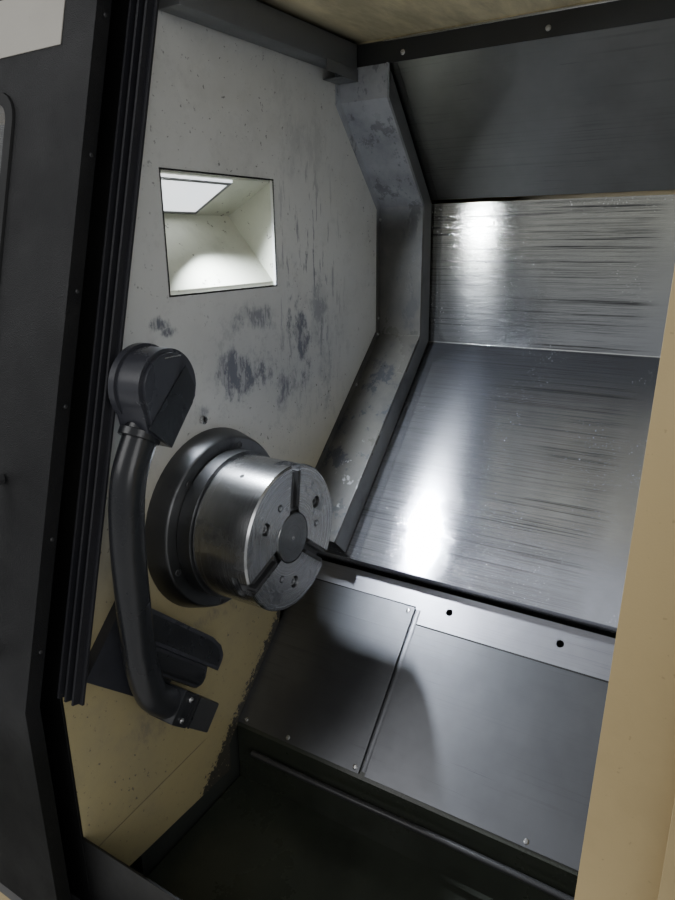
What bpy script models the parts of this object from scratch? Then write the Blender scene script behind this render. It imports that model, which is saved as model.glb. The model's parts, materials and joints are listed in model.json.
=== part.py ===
"""Slant-bed turning lathe with a three-jaw power chuck, turret, tool setting arm and full guard.

The model is laid out in machine coordinates: X runs along the spindle from the inner face of the
spindle-side wall, Y runs back from the spindle axis and Z runs up from it. ORIGIN moves that frame
so that the world origin is on the floor under the middle of the machine.
Slopes are given as (s, n): s runs up and back along the 45 degree bed, n stands out of it.
"""

import math

import bmesh
import bpy
from mathutils import Matrix, Vector

# Overall size and place
SPINDLE_HEIGHT = 1.05
LEFT_END = -1.10
RIGHT_END = 1.76
REAR = 1.00
ROOF = 0.90
SHEET = 0.004
GAP = 0.0003
COVER_FOOT = -0.97

# Front guard: it leans back above the fold and is upright below it
FRONT_AT_AXIS = -0.306
LEAN = math.atan(0.274)
FOLD_Z = -0.16
OPENING_LEFT = 0.05
OPENING_RIGHT = 0.739
OPENING_TOP = 0.845
SILL = -0.425
APRON_FOOT = -0.76
COLUMN_LEFT = 0.807
COLUMN_STEP = 0.03

# Sliding door
DOOR_GAP = 0.031
DOOR_DEPTH = 0.024
DOOR_SHEET = 0.003
DOOR_LEFT = -0.76
DOOR_RIGHT = -0.01
DOOR_TOP = 0.855
DOOR_BOTTOM = -0.57
WINDOW_LEFT = -0.62
WINDOW_RIGHT = -0.167
WINDOW_BOTTOM = 0.06
WINDOW_TOP = 0.70
WINDOW_CORNER = 0.045
SEAL_WIDTH = 0.018
RAIL_HEIGHT = 0.024
RAIL_CLEARANCE = 0.0006
HANDLE_X = -0.113
HANDLE_TOP = 0.154
HANDLE_LENGTH = 0.26

# Spindle-side wall, its edge along the covers and the lamp recess
WALL = 0.006
WALL_EDGE = [(0.459, 0.752), (0.634, 0.556), (0.632, 0.261), (0.449, 0.083), (0.24, -0.12)]
STRIP_LIP = 0.009
WALL_TOP = 0.862
WALL_FOOT = -0.56
STRIP_WIDTH = 0.114
STRIP_FLANGE = 0.018
STRIP_TO_COVER = 0.014
LAMP_Y = (-0.064, 0.218)
LAMP_Z = (0.402, 0.590)
LAMP_DEPTH = 0.11
LAMP_VALLEY_Z = 0.531
LAMP_GLASS_END = 0.115
TAIL_WALL_X = 1.26
CEILING = 0.856
HEADER_Y = 0.46
HEADER_FOOT = 0.812

# Slanted bed, its rails and the covers over it
SLANT = math.radians(45)
COVER_N = -0.309
COVER_SHEET = 0.003
COVER_LIP_S = 0.0757
COVER_BEND_S = 0.6527
COVER_LIP = 0.039
COVER_TOP = 0.56
PANEL_N = -0.3486
PANEL_SHEET = 0.0034
PANEL_FOOT_S = -0.306
LEFT_PANEL_TOP_S = 0.0219
RIGHT_PANEL_TOP_S = -0.012
LEFT_PANEL_END = 0.287
RIGHT_PANEL_START = 0.300
RIGHT_PANEL_END = 0.86
BAND_TOP_S = 0.068
BAND_FOOT_S = -0.03
BAND_HOLES = (0.357, 0.574)
BAND_HOLE_R = 0.007
BED_N = -0.46
BED_FOOT_S = -0.30
BED_TOP_S = 0.70
BED_FRONT = -0.28
BED_REAR = 0.90
BED_SHELF = -0.66
BED_WALL = 0.04
BED_CORES = 3
CHANNEL_DEPTH = 0.08
# Left, rear, right and top of the bay for the coolant tank
TANK_ROOM = (0.0, 0.22, 1.2, -0.76)
TANK_ROOM_SIDE = 0.02
RAIL_S = (0.14, 0.585)
RAIL_WIDTH = 0.045
RAIL_TALL = 0.040
RAIL_ENDS = (0.25, 1.24)
TROUGH_FLOOR = -0.62

# Headstock, spindle and belt drive
HEADSTOCK_X = (-0.62, -0.0063)
SPINDLE_R = 0.070
SPINDLE_BORE_R = 0.035
HOUSING_BORE_R = 0.100
BEARING_X = -0.100
BEARING_WIDTH = 0.055
SHAFT_REAR = -0.78
NOSE_R = 0.098
NOSE_COVER_R = (0.167, 0.157)
NOSE_COVER_X = 0.038
BACK_PLATE_R = 0.133
BACK_PLATE_X = (0.0386, 0.0664)
PULLEY_X = (-0.715, -0.665)
SPINDLE_PULLEY_R = 0.110
MOTOR_PULLEY_R = 0.070
MOTOR_Z = -0.50
MOTOR_X = (-1.04, -0.74)
MOTOR_R = 0.13
MOTOR_SHAFT_R = 0.022
BELT_THICKNESS = 0.008

# Chuck
CHUCK_R = 0.127
CHUCK_X = (0.067, 0.179)
CHUCK_SLOT_ANGLES = [math.radians(a) for a in (82, 202, 322)]
SLOT_WIDTH = 0.026
TEE_WIDTH = 0.042
SLOT_DEPTH = 0.020
TEE_DEPTH = 0.014
JAW_INNER_R = 0.050
JAW_OUTER_R = CHUCK_R - 0.007
JAW_CLEARANCE = 0.0006
CENTRE_PLATE_R = 0.044
CENTRE_PLATE_DEPTH = 0.010
CHUCK_SCREW_R = 0.011
CHUCK_SCREW_CIRCLE = CHUCK_R - 0.044
CHUCK_SCREW_OFFSET = math.radians(8)

# Tool setting arm and its park bracket
ARM_PIVOT = (-0.188, 0.287)
ARM_HUB_R = 0.034
ARM_HUB_X = 0.052
ARM_DRUM_R = 0.056
ARM_COLLAR_R = 0.060
ARM_COLLAR_X = 0.064
ARM_HOUSING_X = (0.0526, 0.108)
ARM_PLATE_X = 0.114
ARM_PLANE_X = 0.078
ARM_TUBE_R = 0.0252
ARM_TUBE_START = (-0.205, 0.245)
ARM_TUBE_BOW = [(-0.234, 0.200), (-0.256, 0.153), (-0.2655, 0.062), (-0.266, -0.062), (-0.264, -0.135),
                (-0.252, -0.190)]
HEAD_PLACE = (-0.181, -0.263)
HEAD_SIZE = (0.050, 0.104, 0.051)
HEAD_TURN = math.radians(-43)
# The bracket is laid out from its upper left corner: first along the head, then down across it
BRACKET_CORNER = (-0.208, -0.069)
BRACKET_X = 0.050
BRACKET_PLATE_X = 0.020
BRACKET_CAN_X = 0.044
BRACKET_CAP = [(0, 0), (0.185, 0), (0.215, 0.006), (0.232, 0.018), (0.238, 0.034), (0.238, 0.050), (0, 0.050)]
BRACKET_CAN = [(0.03, 0.045), (0.213, 0.045), (0.221, 0.066), (0.221, 0.082), (0.207, 0.092), (0.03, 0.092)]
BRACKET_PLATE = [(-0.030, 0), (0.160, 0), (0.160, 0.135), (-0.030, 0.135)]

# Carriage, turret and tailstock
SADDLE_X = (0.80, 1.06)
SADDLE_S = (0.082, 0.64)
SADDLE_TOP_N = -0.27
SADDLE_BELLY = 0.012
TRUCK_HALF = 0.045
SLIDE_RAIL_X = (0.93, 1.01)
SLIDE_RAIL_WIDTH = 0.04
SLIDE_RAIL_TALL = 0.028
CARRIAGE_TRAVEL = 0.42
TURRET_S = 0.42
SLIDE_X = (0.895, 1.045)
SLIDE_S = (0.26, 0.585)
SLIDE_TOP_N = -0.16
TURRET_HOUSING_R = 0.125
TURRET_HOUSING_X = (0.8803, 1.14)
TURRET_X = (0.79, 0.88)
TURRET_R = 0.170
STATIONS = 12
TOOL_REACH_R = 0.236
TAILSTOCK_X = (1.00, 1.25)
TAILSTOCK_R = 0.085
TAILSTOCK_LEG_S = (-0.20, 0.02)
TAIL_WAY_X = (0.87, 1.255)
TAIL_WAY_N = -0.335
QUILL_R = 0.030
QUILL_TIP = 0.93

# Control panel
PANEL_X = (0.90, 1.30)
PANEL_Z = (-0.02, 0.42)
PANEL_FRONT = -0.458
STOP_BUTTON_R = 0.02
STOP_BUTTON_REACH = 0.020
STOP_STEM_R = 0.009

FRONT_END = PANEL_FRONT - STOP_BUTTON_REACH
ORIGIN = Vector((-(LEFT_END + RIGHT_END) / 2, -(REAR + FRONT_END) / 2, SPINDLE_HEIGHT))

# Colour, roughness and metallic value of each finish
FINISHES = {
    "cream paint": ((0.74, 0.72, 0.62), 0.5, 0.0),
    "beige paint": ((0.66, 0.60, 0.46), 0.45, 0.0),
    "black texture": ((0.03, 0.03, 0.033), 0.6, 0.0),
    "dark steel": ((0.10, 0.10, 0.11), 0.4, 0.8),
    "brushed steel": ((0.50, 0.50, 0.50), 0.3, 1.0),
    "ground steel": ((0.55, 0.55, 0.55), 0.2, 1.0),
    "cast iron": ((0.22, 0.24, 0.24), 0.6, 0.3),
    "rubber": ((0.02, 0.02, 0.02), 0.8, 0.0),
    "glass": ((0.80, 0.85, 0.85), 0.05, 0.0),
    "red plastic": ((0.60, 0.03, 0.02), 0.35, 0.0),
}


def clear_scene():
    for item in list(bpy.data.objects):
        bpy.data.objects.remove(item)


def make_collection(name):
    collection = bpy.data.collections.new(name)
    bpy.context.scene.collection.children.link(collection)
    return collection


def finish(item, kind):
    """Give the object a material of its own."""
    colour, roughness, metallic = FINISHES[kind]
    material = bpy.data.materials.new(item.name)
    material.use_nodes = True
    shader = material.node_tree.nodes["Principled BSDF"]
    shader.inputs["Base Color"].default_value = (*colour, 1.0)
    shader.inputs["Roughness"].default_value = roughness
    shader.inputs["Metallic"].default_value = metallic
    item.data.materials.clear()
    item.data.materials.append(material)


def add_mesh(name, mesh, kind, place=(0, 0, 0), turn=None):
    """Link a mesh as a named object; kind None makes a cutter."""
    item = bpy.data.objects.new(name, mesh)
    item.location = ORIGIN + Vector(place)
    if turn is not None:
        item.rotation_euler = turn.to_euler()
    if kind is None:
        CUTTERS.objects.link(item)
        item.hide_render = True
        item.display_type = "WIRE"
    else:
        LATHE.objects.link(item)
        finish(item, kind)
    return item


def solid_mesh(holder):
    """The evaluated mesh of a holder object, welded; the holder is removed."""
    bpy.context.scene.collection.objects.link(holder)
    depsgraph = bpy.context.evaluated_depsgraph_get()
    mesh = bpy.data.meshes.new_from_object(holder.evaluated_get(depsgraph))
    bpy.data.objects.remove(holder)
    shape = bmesh.new()
    shape.from_mesh(mesh)
    bmesh.ops.remove_doubles(shape, verts=shape.verts, dist=0.00001)
    bmesh.ops.recalc_face_normals(shape, faces=shape.faces)
    shape.to_mesh(mesh)
    shape.free()
    return mesh


def curve_mesh(curve):
    return solid_mesh(bpy.data.objects.new("holder", curve))


def outline_mesh(outlines, thickness):
    """A flat outline, with any inner outlines as holes, made solid about its plane."""
    curve = bpy.data.curves.new("outline", "CURVE")
    curve.dimensions = "2D"
    curve.fill_mode = "BOTH"
    curve.extrude = thickness / 2
    for points in outlines:
        spline = curve.splines.new("POLY")
        spline.points.add(len(points) - 1)
        for place, (u, v) in zip(spline.points, points):
            place.co = (u, v, 0, 1)
        spline.use_cyclic_u = True
    return curve_mesh(curve)


# An outline drawn in (y, z) and extruded along X, and one drawn in (x, z) and extruded along Y
ACROSS = Matrix(((0, 0, 1), (1, 0, 0), (0, 1, 0)))
UPRIGHT = Matrix(((1, 0, 0), (0, 0, -1), (0, 1, 0)))


def slab(name, outlines, x_span, kind, slant=0.0):
    """A (y, z) outline between two X values; with a slant the outline is in (s, n)."""
    if isinstance(outlines[0][0], (int, float)):
        outlines = [outlines]
    mesh = outline_mesh(outlines, x_span[1] - x_span[0])
    turn = Matrix.Rotation(slant, 3, "X") @ ACROSS
    return add_mesh(name, mesh, kind, ((x_span[0] + x_span[1]) / 2, 0, 0), turn)


def thick_line(points, thickness):
    """The outline of a bent sheet: the path and its copy a thickness to the right of its run."""
    path = [Vector(p) for p in points]
    normals = []
    for start, end in zip(path, path[1:]):
        run = (end - start).normalized()
        normals.append(Vector((run.y, -run.x)))
    other = [path[0] + normals[0] * thickness]
    for corner, before, after in zip(path[1:-1], normals, normals[1:]):
        mitre = (before + after).normalized()
        other.append(corner + mitre * (thickness / mitre.dot(after)))
    other.append(path[-1] + normals[-1] * thickness)
    return [tuple(p) for p in path + other[::-1]]


def sheet(name, path, thickness, x_span, kind, slant=0.0):
    return slab(name, thick_line(path, thickness), x_span, kind, slant)


def box_mesh(low, high):
    shape = bmesh.new()
    bmesh.ops.create_cube(shape, size=1)
    size = Vector(high) - Vector(low)
    bmesh.ops.scale(shape, vec=size, verts=shape.verts)
    mesh = bpy.data.meshes.new("box")
    shape.to_mesh(mesh)
    shape.free()
    return mesh


def box(name, low, high, kind, bevel=0.0, turn=None):
    middle = (Vector(low) + Vector(high)) / 2
    item = add_mesh(name, box_mesh(low, high), kind, middle, turn)
    round_edges(item, bevel)
    return item


def slanted_box(name, x_span, s_span, n_span, kind, bevel=0.0):
    """A box with its sides along X and the bed's slope."""
    middle_s, middle_n = sum(s_span) / 2, sum(n_span) / 2
    size = Vector((x_span[1] - x_span[0], s_span[1] - s_span[0], n_span[1] - n_span[0]))
    place = slope_place(sum(x_span) / 2, middle_s, middle_n)
    item = add_mesh(name, box_mesh(-size / 2, size / 2), kind, place, Matrix.Rotation(SLANT, 3, "X"))
    round_edges(item, bevel)
    return item


def slope_place(x, s, n):
    return Vector((x, s * math.cos(SLANT) - n * math.sin(SLANT), s * math.sin(SLANT) + n * math.cos(SLANT)))


def round_edges(item, width):
    if width:
        bevel = item.modifiers.new("edges", "BEVEL")
        bevel.width = width
        bevel.segments = 2
        bevel.limit_method = "ANGLE"


def turned(name, profile, kind, place=(0, 0, 0), steps=32, turn=None):
    """A profile of (x, radius) points turned about an axis along X, from the high x end down."""
    outline = bpy.data.meshes.new(name)
    shape = bmesh.new()
    points = [shape.verts.new((radius, 0, x)) for x, radius in profile]
    for start, end in zip(points, points[1:]):
        shape.edges.new((start, end))
    if profile[0][1] > 0:
        shape.edges.new((points[-1], points[0]))
    shape.to_mesh(outline)
    shape.free()
    holder = bpy.data.objects.new("holder", outline)
    screw = holder.modifiers.new("turned", "SCREW")
    screw.steps = steps
    screw.render_steps = steps
    screw.use_merge_vertices = True
    screw.merge_threshold = 0.00001
    mesh = solid_mesh(holder)
    mesh.shade_smooth()
    mesh.set_sharp_from_angle(angle=math.radians(35))
    return add_mesh(name, mesh, kind, place, turn or ACROSS)


def ring_profile(x_span, outer, inner):
    low, high = x_span
    return [(high, inner), (high, outer), (low, outer), (low, inner)]


def rod_profile(x_span, radius):
    low, high = x_span
    return [(high, 0), (high, radius), (low, radius), (low, 0)]


def cut(item, cutter):
    change = item.modifiers.new("cut", "BOOLEAN")
    change.operation = "DIFFERENCE"
    change.object = cutter


def union(item, other):
    """Add another solid; the other becomes a guide object."""
    change = item.modifiers.new("joined", "BOOLEAN")
    change.operation = "UNION"
    change.object = other


def arc(centre, radius, start, end, steps):
    """Points on an arc, angles in degrees."""
    points = []
    for step in range(steps + 1):
        angle = math.radians(start + (end - start) * step / steps)
        points.append((centre[0] + radius * math.cos(angle), centre[1] + radius * math.sin(angle)))
    return points


def front_y(z, out=0.0):
    """Y of the front guard's face at height z, moved out towards the operator."""
    return FRONT_AT_AXIS + math.tan(LEAN) * max(z, FOLD_Z) - out


def front_path(top, foot, out=0.0):
    return [(front_y(top, out), top), (front_y(FOLD_Z, out), FOLD_Z), (front_y(foot, out), foot)]


LATHE = None
CUTTERS = None


def make_bed():
    def bed_point(s):
        place = slope_place(0, s, BED_N)
        return (place.y, place.z)

    foot, top = bed_point(BED_FOOT_S), bed_point(BED_TOP_S)
    outline = [
        (BED_FRONT, -SPINDLE_HEIGHT), (BED_REAR, -SPINDLE_HEIGHT), (BED_REAR, top[1] - 0.07),
        top, foot, (foot[0] - 0.06, BED_SHELF), (BED_FRONT, BED_SHELF),
    ]
    bed = slab("bed_casting", outline, (LEFT_END + 0.0045, RIGHT_END - 0.0045), "cast iron")
    tank_room = box("tank_room", (TANK_ROOM[0], BED_FRONT - 0.1, -SPINDLE_HEIGHT - 0.1),
                    (TANK_ROOM[2], TANK_ROOM[1], TANK_ROOM[3]), None)
    cut(bed, tank_room)
    motor_bay = box("motor_bay", (LEFT_END - 0.1, BED_FRONT - 0.1, BED_SHELF), (HEADSTOCK_X[0] - 0.01, 0.16, 0.2), None)
    cut(bed, motor_bay)
    channel = slanted_box("screw_channel", (LEFT_END - 0.1, RIGHT_END + 0.1), (0.26, 0.48),
                          (BED_N - CHANNEL_DEPTH, BED_N + 0.1), None)
    cut(bed, channel)
    hollow_bed(bed)
    for name, s in zip(("z_rail_lower", "z_rail_upper"), RAIL_S):
        slanted_box(name, RAIL_ENDS, (s - RAIL_WIDTH / 2, s + RAIL_WIDTH / 2),
                    (BED_N + GAP, BED_N + RAIL_TALL), "ground steel", 0.003)
    way = slanted_box("tailstock_way", TAIL_WAY_X, (-0.27, -0.04), (BED_N + GAP, TAIL_WAY_N - 0.02), "cast iron")
    rib = slanted_box("way_rib", (TAIL_WAY_X[0] + 0.005, TAIL_WAY_X[1] - 0.005), (-0.15, -0.11),
                      (TAIL_WAY_N - 0.04, TAIL_WAY_N), None)
    union(way, rib)
    box("coolant_tank", (TANK_ROOM[0] + TANK_ROOM_SIDE, front_y(APRON_FOOT) + TANK_ROOM_SIDE, -SPINDLE_HEIGHT),
        (TANK_ROOM[2] - TANK_ROOM_SIDE, TANK_ROOM[1] - GAP, TANK_ROOM[3] - 0.01), "beige paint", 0.004)


def hollow_bed(bed):
    """Cores the casting from below, so that it is walls and ribs as a real bed is."""
    below = -SPINDLE_HEIGHT - 0.1
    roof_offset = (BED_N - CHANNEL_DEPTH - BED_WALL) * math.sqrt(2)
    front, rear = TANK_ROOM[1] + BED_WALL, BED_REAR - BED_WALL
    crown = rear + roof_offset - BED_WALL
    core = [(front, below), (rear, below), (rear, crown), (crown - roof_offset, crown), (front, front + roof_offset)]
    start, end = LEFT_END + BED_WALL, RIGHT_END - BED_WALL
    length = (end - start - (BED_CORES - 1) * BED_WALL) / BED_CORES
    for index in range(BED_CORES):
        low = start + index * (length + BED_WALL)
        cut(bed, slab(f"bed_core_{index}", core, (low, low + length), None))
    for index, span in enumerate(((start, TANK_ROOM[0] - BED_WALL), (TANK_ROOM[2] + BED_WALL, end))):
        cut(bed, box(f"foot_core_{index}", (span[0], BED_FRONT + BED_WALL, below),
                     (span[1], TANK_ROOM[1], BED_SHELF - BED_WALL), None))


def make_headstock():
    outline = [(-0.24, BED_SHELF + GAP), (0.02, BED_SHELF + GAP), (0.10, -0.26), (0.21, -0.12), (0.21, 0.13),
               (0.14, 0.22), (-0.14, 0.22), (-0.21, 0.14), (-0.24, -0.10)]
    casting = slab("headstock_casting", outline, HEADSTOCK_X, "cast iron")
    bore = turned("headstock_bore", rod_profile((HEADSTOCK_X[0] - 0.1, 0.1), HOUSING_BORE_R), None)
    cut(casting, bore)
    for index, middle in enumerate((-0.30, -0.44)):
        pocket = box(f"headstock_pocket_{index}", (middle - 0.05, -0.4, -0.52), (middle + 0.05, -0.20, -0.18), None)
        cut(casting, pocket)
    turned("front_bearing", ring_profile((BEARING_X, BEARING_X + BEARING_WIDTH), HOUSING_BORE_R - GAP * 2,
                                         SPINDLE_R + GAP * 2), "ground steel")
    face, bore_r = NOSE_COVER_X, NOSE_R + 0.008
    cover = [(face, bore_r), (face, NOSE_COVER_R[1] - 0.004), (face - 0.004, NOSE_COVER_R[1]),
             (GAP, NOSE_COVER_R[0]), (GAP, bore_r)]
    turned("nose_cover", cover, "dark steel", steps=64)
    shaft = [(NOSE_COVER_X, SPINDLE_BORE_R), (NOSE_COVER_X, NOSE_R), (0.008, NOSE_R), (-0.004, SPINDLE_R),
             (-0.60, SPINDLE_R), (-0.60, 0.058), (SHAFT_REAR, 0.058), (SHAFT_REAR, SPINDLE_BORE_R)]
    turned("spindle_shaft", shaft, "ground steel", steps=40)
    turned("draw_tube", ring_profile((SHAFT_REAR - 0.06, 0.02), SPINDLE_BORE_R - 0.0005, 0.024), "dark steel", steps=24)
    turned("spindle_pulley", ring_profile(PULLEY_X, SPINDLE_PULLEY_R, 0.058 + GAP * 2), "cast iron", steps=48)
    motor = turned("spindle_motor", rod_profile(MOTOR_X, MOTOR_R), "black texture", (0, 0, MOTOR_Z), 32)
    feet = box("motor_feet", (MOTOR_X[0] + 0.05, -0.12, BED_SHELF + GAP), (MOTOR_X[1] - 0.05, 0.12, MOTOR_Z - 0.08), None)
    union(motor, feet)
    turned("motor_pulley", [(PULLEY_X[1], 0), (PULLEY_X[1], MOTOR_PULLEY_R), (PULLEY_X[0], MOTOR_PULLEY_R),
                            (PULLEY_X[0], MOTOR_SHAFT_R), (MOTOR_X[1] + GAP * 2, MOTOR_SHAFT_R),
                            (MOTOR_X[1] + GAP * 2, 0)], "cast iron", (0, 0, MOTOR_Z), 32)
    make_belt()


def make_belt():
    """Flat belt round both pulleys, open in the middle."""
    tilt = math.degrees(math.asin((SPINDLE_PULLEY_R - MOTOR_PULLEY_R) / -MOTOR_Z))

    def loop(extra):
        top = arc((0, 0), SPINDLE_PULLEY_R + extra, -tilt, 180 + tilt, 24)
        bottom = arc((0, MOTOR_Z), MOTOR_PULLEY_R + extra, 180 + tilt, 360 - tilt, 16)
        return top + bottom

    slab("drive_belt", [loop(BELT_THICKNESS), loop(0.0006)], (PULLEY_X[0] + 0.006, PULLEY_X[1] - 0.006), "rubber")


def radial_box(name, angle, x_span, r_span, width, kind, bevel=0.0):
    """A box along a radius of the chuck."""
    middle = Vector((sum(x_span) / 2, sum(r_span) / 2, 0))
    size = Vector((x_span[1] - x_span[0], r_span[1] - r_span[0], width))
    turn = Matrix.Rotation(angle, 3, "X")
    item = add_mesh(name, box_mesh(-size / 2, size / 2), kind, turn @ middle, turn)
    round_edges(item, bevel)
    return item


def make_chuck():
    turned("chuck_back_plate", ring_profile(BACK_PLATE_X, BACK_PLATE_R, SPINDLE_BORE_R), "dark steel", steps=64)
    low, face = CHUCK_X
    body = [(face, 0), (face, CHUCK_R - 0.003), (face - 0.003, CHUCK_R), (low + 0.002, CHUCK_R),
            (low, CHUCK_R - 0.002), (low, 0)]
    chuck = turned("chuck_body", body, "brushed steel", steps=72)
    recess = turned("plate_recess", rod_profile((face - CENTRE_PLATE_DEPTH, face + 0.02), CENTRE_PLATE_R + 0.0005),
                    None, steps=40)
    cut(chuck, recess)
    for index, angle in enumerate(CHUCK_SLOT_ANGLES):
        slot = radial_box(f"slot_{index}", angle, (face - SLOT_DEPTH, face + 0.02), (JAW_INNER_R - 0.008, CHUCK_R + 0.02),
                          SLOT_WIDTH, None)
        cut(chuck, slot)
        tee = radial_box(f"tee_{index}", angle, (face - SLOT_DEPTH - TEE_DEPTH, face - SLOT_DEPTH + 0.0004),
                         (JAW_INNER_R - 0.004, CHUCK_R + 0.02), TEE_WIDTH, None)
        cut(chuck, tee)
        hole_angle = angle + math.radians(60) + CHUCK_SCREW_OFFSET
        place = (0, CHUCK_SCREW_CIRCLE * math.cos(hole_angle), CHUCK_SCREW_CIRCLE * math.sin(hole_angle))
        hole = turned(f"screw_hole_{index}", rod_profile((face - 0.014, face + 0.02), CHUCK_SCREW_R), None, place, 16)
        cut(chuck, hole)
        make_jaw(index, angle)
    plate = [(face + 0.0004, 0), (face + 0.0004, CENTRE_PLATE_R - 0.002), (face - 0.002, CENTRE_PLATE_R),
             (face - CENTRE_PLATE_DEPTH + GAP, CENTRE_PLATE_R), (face - CENTRE_PLATE_DEPTH + GAP, 0)]
    turned("chuck_centre_plate", plate, "dark steel", steps=40)


def make_jaw(index, angle):
    face = CHUCK_X[1]
    bar = (JAW_INNER_R + 0.004, JAW_OUTER_R - 0.004)
    jaw = radial_box(f"master_jaw_{index + 1}", angle, (face - SLOT_DEPTH - 0.001, face - 0.0006), bar,
                     SLOT_WIDTH - 2 * JAW_CLEARANCE, "dark steel")
    foot = radial_box(f"jaw_foot_{index}", angle,
                      (face - SLOT_DEPTH - TEE_DEPTH + JAW_CLEARANCE, face - SLOT_DEPTH - 0.0006), bar,
                      TEE_WIDTH - 2 * JAW_CLEARANCE, None)
    union(jaw, foot)
    groove = radial_box(f"jaw_groove_{index}", angle, (face - 0.014, face + 0.01), (0.04, 0.13), 0.011, None)
    cut(jaw, groove)


def make_walls():
    front = [(front_y(WALL_FOOT) + GAP, WALL_FOOT), (front_y(FOLD_Z) + GAP, FOLD_Z),
             (front_y(WALL_TOP) + GAP, WALL_TOP)]
    edge = [(HEADER_Y - 0.006, WALL_TOP), (HEADER_Y - 0.006, HEADER_FOOT - 0.006)] + WALL_EDGE
    foot = [(0.18, -0.318), (0.0, -0.50), (0.0, WALL_FOOT)]
    outline = edge + foot + front
    spindle_hole = arc((0, 0), NOSE_R + 0.012, 0, 345, 23)
    lamp_hole = [(LAMP_Y[0], LAMP_Z[0]), (LAMP_Y[1], LAMP_Z[0]), (LAMP_Y[1], LAMP_Z[1]), (LAMP_Y[0], LAMP_Z[1])]
    slab("spindle_side_wall", [outline, spindle_hole, lamp_hole], (-WALL, 0), "cream paint")
    slab("tail_side_wall", outline, (TAIL_WALL_X, TAIL_WALL_X + WALL), "cream paint")
    edge = [(WALL_EDGE[0][0], HEADER_FOOT - GAP), *WALL_EDGE]
    strip = slab("frame_strip", thick_line(edge, COVER_SHEET), (GAP, STRIP_WIDTH), "beige paint")
    union(strip, slab("strip_flange", thick_line(edge, STRIP_FLANGE), (GAP, GAP + COVER_SHEET), None))
    union(strip, slab("strip_lip", thick_line(edge, STRIP_LIP), (STRIP_WIDTH - COVER_SHEET, STRIP_WIDTH), None))
    make_lamp()


def make_lamp():
    """Wedge-shaped pocket behind the wall, its glass under the upper face."""
    back = -WALL - GAP

    def wedge(grow):
        slope_low = LAMP_Z[0] - grow * 1.4, LAMP_Z[1] + grow * 1.2
        return [(back, slope_low[0]), (-LAMP_DEPTH - grow, LAMP_VALLEY_Z), (back, slope_low[1])]

    def prism(name, outline, y_span, kind):
        mesh = outline_mesh([outline], y_span[1] - y_span[0])
        return add_mesh(name, mesh, kind, (0, sum(y_span) / 2, 0), UPRIGHT)

    pocket = prism("lamp_recess", wedge(0.004), (LAMP_Y[0] - 0.003, LAMP_Y[1] + 0.003), "cream paint")
    hollow = [(0.01, LAMP_Z[0] - 0.0117), (-LAMP_DEPTH, LAMP_VALLEY_Z), (0.01, LAMP_Z[1] + 0.0054)]
    cut(pocket, prism("lamp_hollow", hollow, LAMP_Y, None))
    slope = (LAMP_Z[1] - LAMP_VALLEY_Z) / LAMP_DEPTH
    low_x, high_x = -LAMP_DEPTH * 0.86, -LAMP_DEPTH * 0.08

    def under(x, drop):
        return (x, LAMP_VALLEY_Z + slope * (x + LAMP_DEPTH) - drop)

    glass = [under(low_x, 0.0045), under(high_x, 0.0045), under(high_x, 0.0006), under(low_x, 0.0006)]
    prism("lamp_glass", glass, (LAMP_Y[0] + GAP, LAMP_GLASS_END), "glass")


def make_covers():
    lip = [(COVER_LIP_S, COVER_N - COVER_LIP), (COVER_LIP_S, COVER_N)]
    bend = slope_place(0, COVER_BEND_S, COVER_N)
    path = [slope_place(0, s, n) for s, n in lip] + [bend, Vector((0, bend.y, COVER_TOP))]
    path = [(p.y, p.z) for p in path]
    sheet("left_way_cover", path, COVER_SHEET, (0.02, SADDLE_X[0] - GAP), "brushed steel")
    sheet("right_way_cover", path, COVER_SHEET, (SADDLE_X[1] + GAP, TAIL_WALL_X + CARRIAGE_TRAVEL + 0.02),
          "brushed steel")
    upper = [(bend.y - 0.004, COVER_TOP + 0.008), (HEADER_Y + COVER_SHEET + GAP, HEADER_FOOT + 0.001)]
    sheet("upper_back_panel", upper, COVER_SHEET, (STRIP_WIDTH + STRIP_TO_COVER, TAIL_WALL_X - GAP), "brushed steel")
    ceiling = [(front_y(CEILING) + 0.008, CEILING), (HEADER_Y, CEILING), (HEADER_Y, HEADER_FOOT)]
    sheet("ceiling_panel", ceiling[::-1], COVER_SHEET, (GAP, TAIL_WALL_X - GAP), "beige paint")
    under = PANEL_N - PANEL_SHEET - GAP
    band = [(BAND_FOOT_S, BED_N + GAP), (BAND_FOOT_S, under), (BAND_TOP_S, under)]
    plate = sheet("lip_plate", band, PANEL_SHEET, (GAP, TAIL_WAY_X[0] - 0.005), "brushed steel", SLANT)
    for index, x in enumerate(BAND_HOLES):
        hole = add_mesh(f"band_hole_{index}", outline_mesh([arc((0, 0), BAND_HOLE_R, 0, 345, 23)], 0.05), None,
                        slope_place(x, 0.032, under), Matrix.Rotation(SLANT, 3, "X"))
        cut(plate, hole)
    slanted_box("lower_left_panel", (GAP, LEFT_PANEL_END), (PANEL_FOOT_S, LEFT_PANEL_TOP_S),
                (PANEL_N - PANEL_SHEET, PANEL_N), "brushed steel")
    slanted_box("lower_right_panel", (RIGHT_PANEL_START, RIGHT_PANEL_END), (PANEL_FOOT_S, RIGHT_PANEL_TOP_S),
                (PANEL_N - PANEL_SHEET, PANEL_N), "brushed steel")
    seat = under - COVER_SHEET
    flange = [slope_place(0, PANEL_FOOT_S + 0.03, seat), slope_place(0, PANEL_FOOT_S - 0.006, seat)]
    path = [(p.y, p.z) for p in flange]
    path += [(path[-1][0], TROUGH_FLOOR + 0.02), (-0.26, TROUGH_FLOOR), (front_y(SILL) + 0.0006, TROUGH_FLOOR + 0.10)]
    sheet("chip_trough", path, COVER_SHEET, (GAP, TAIL_WALL_X - GAP), "dark steel")


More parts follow.
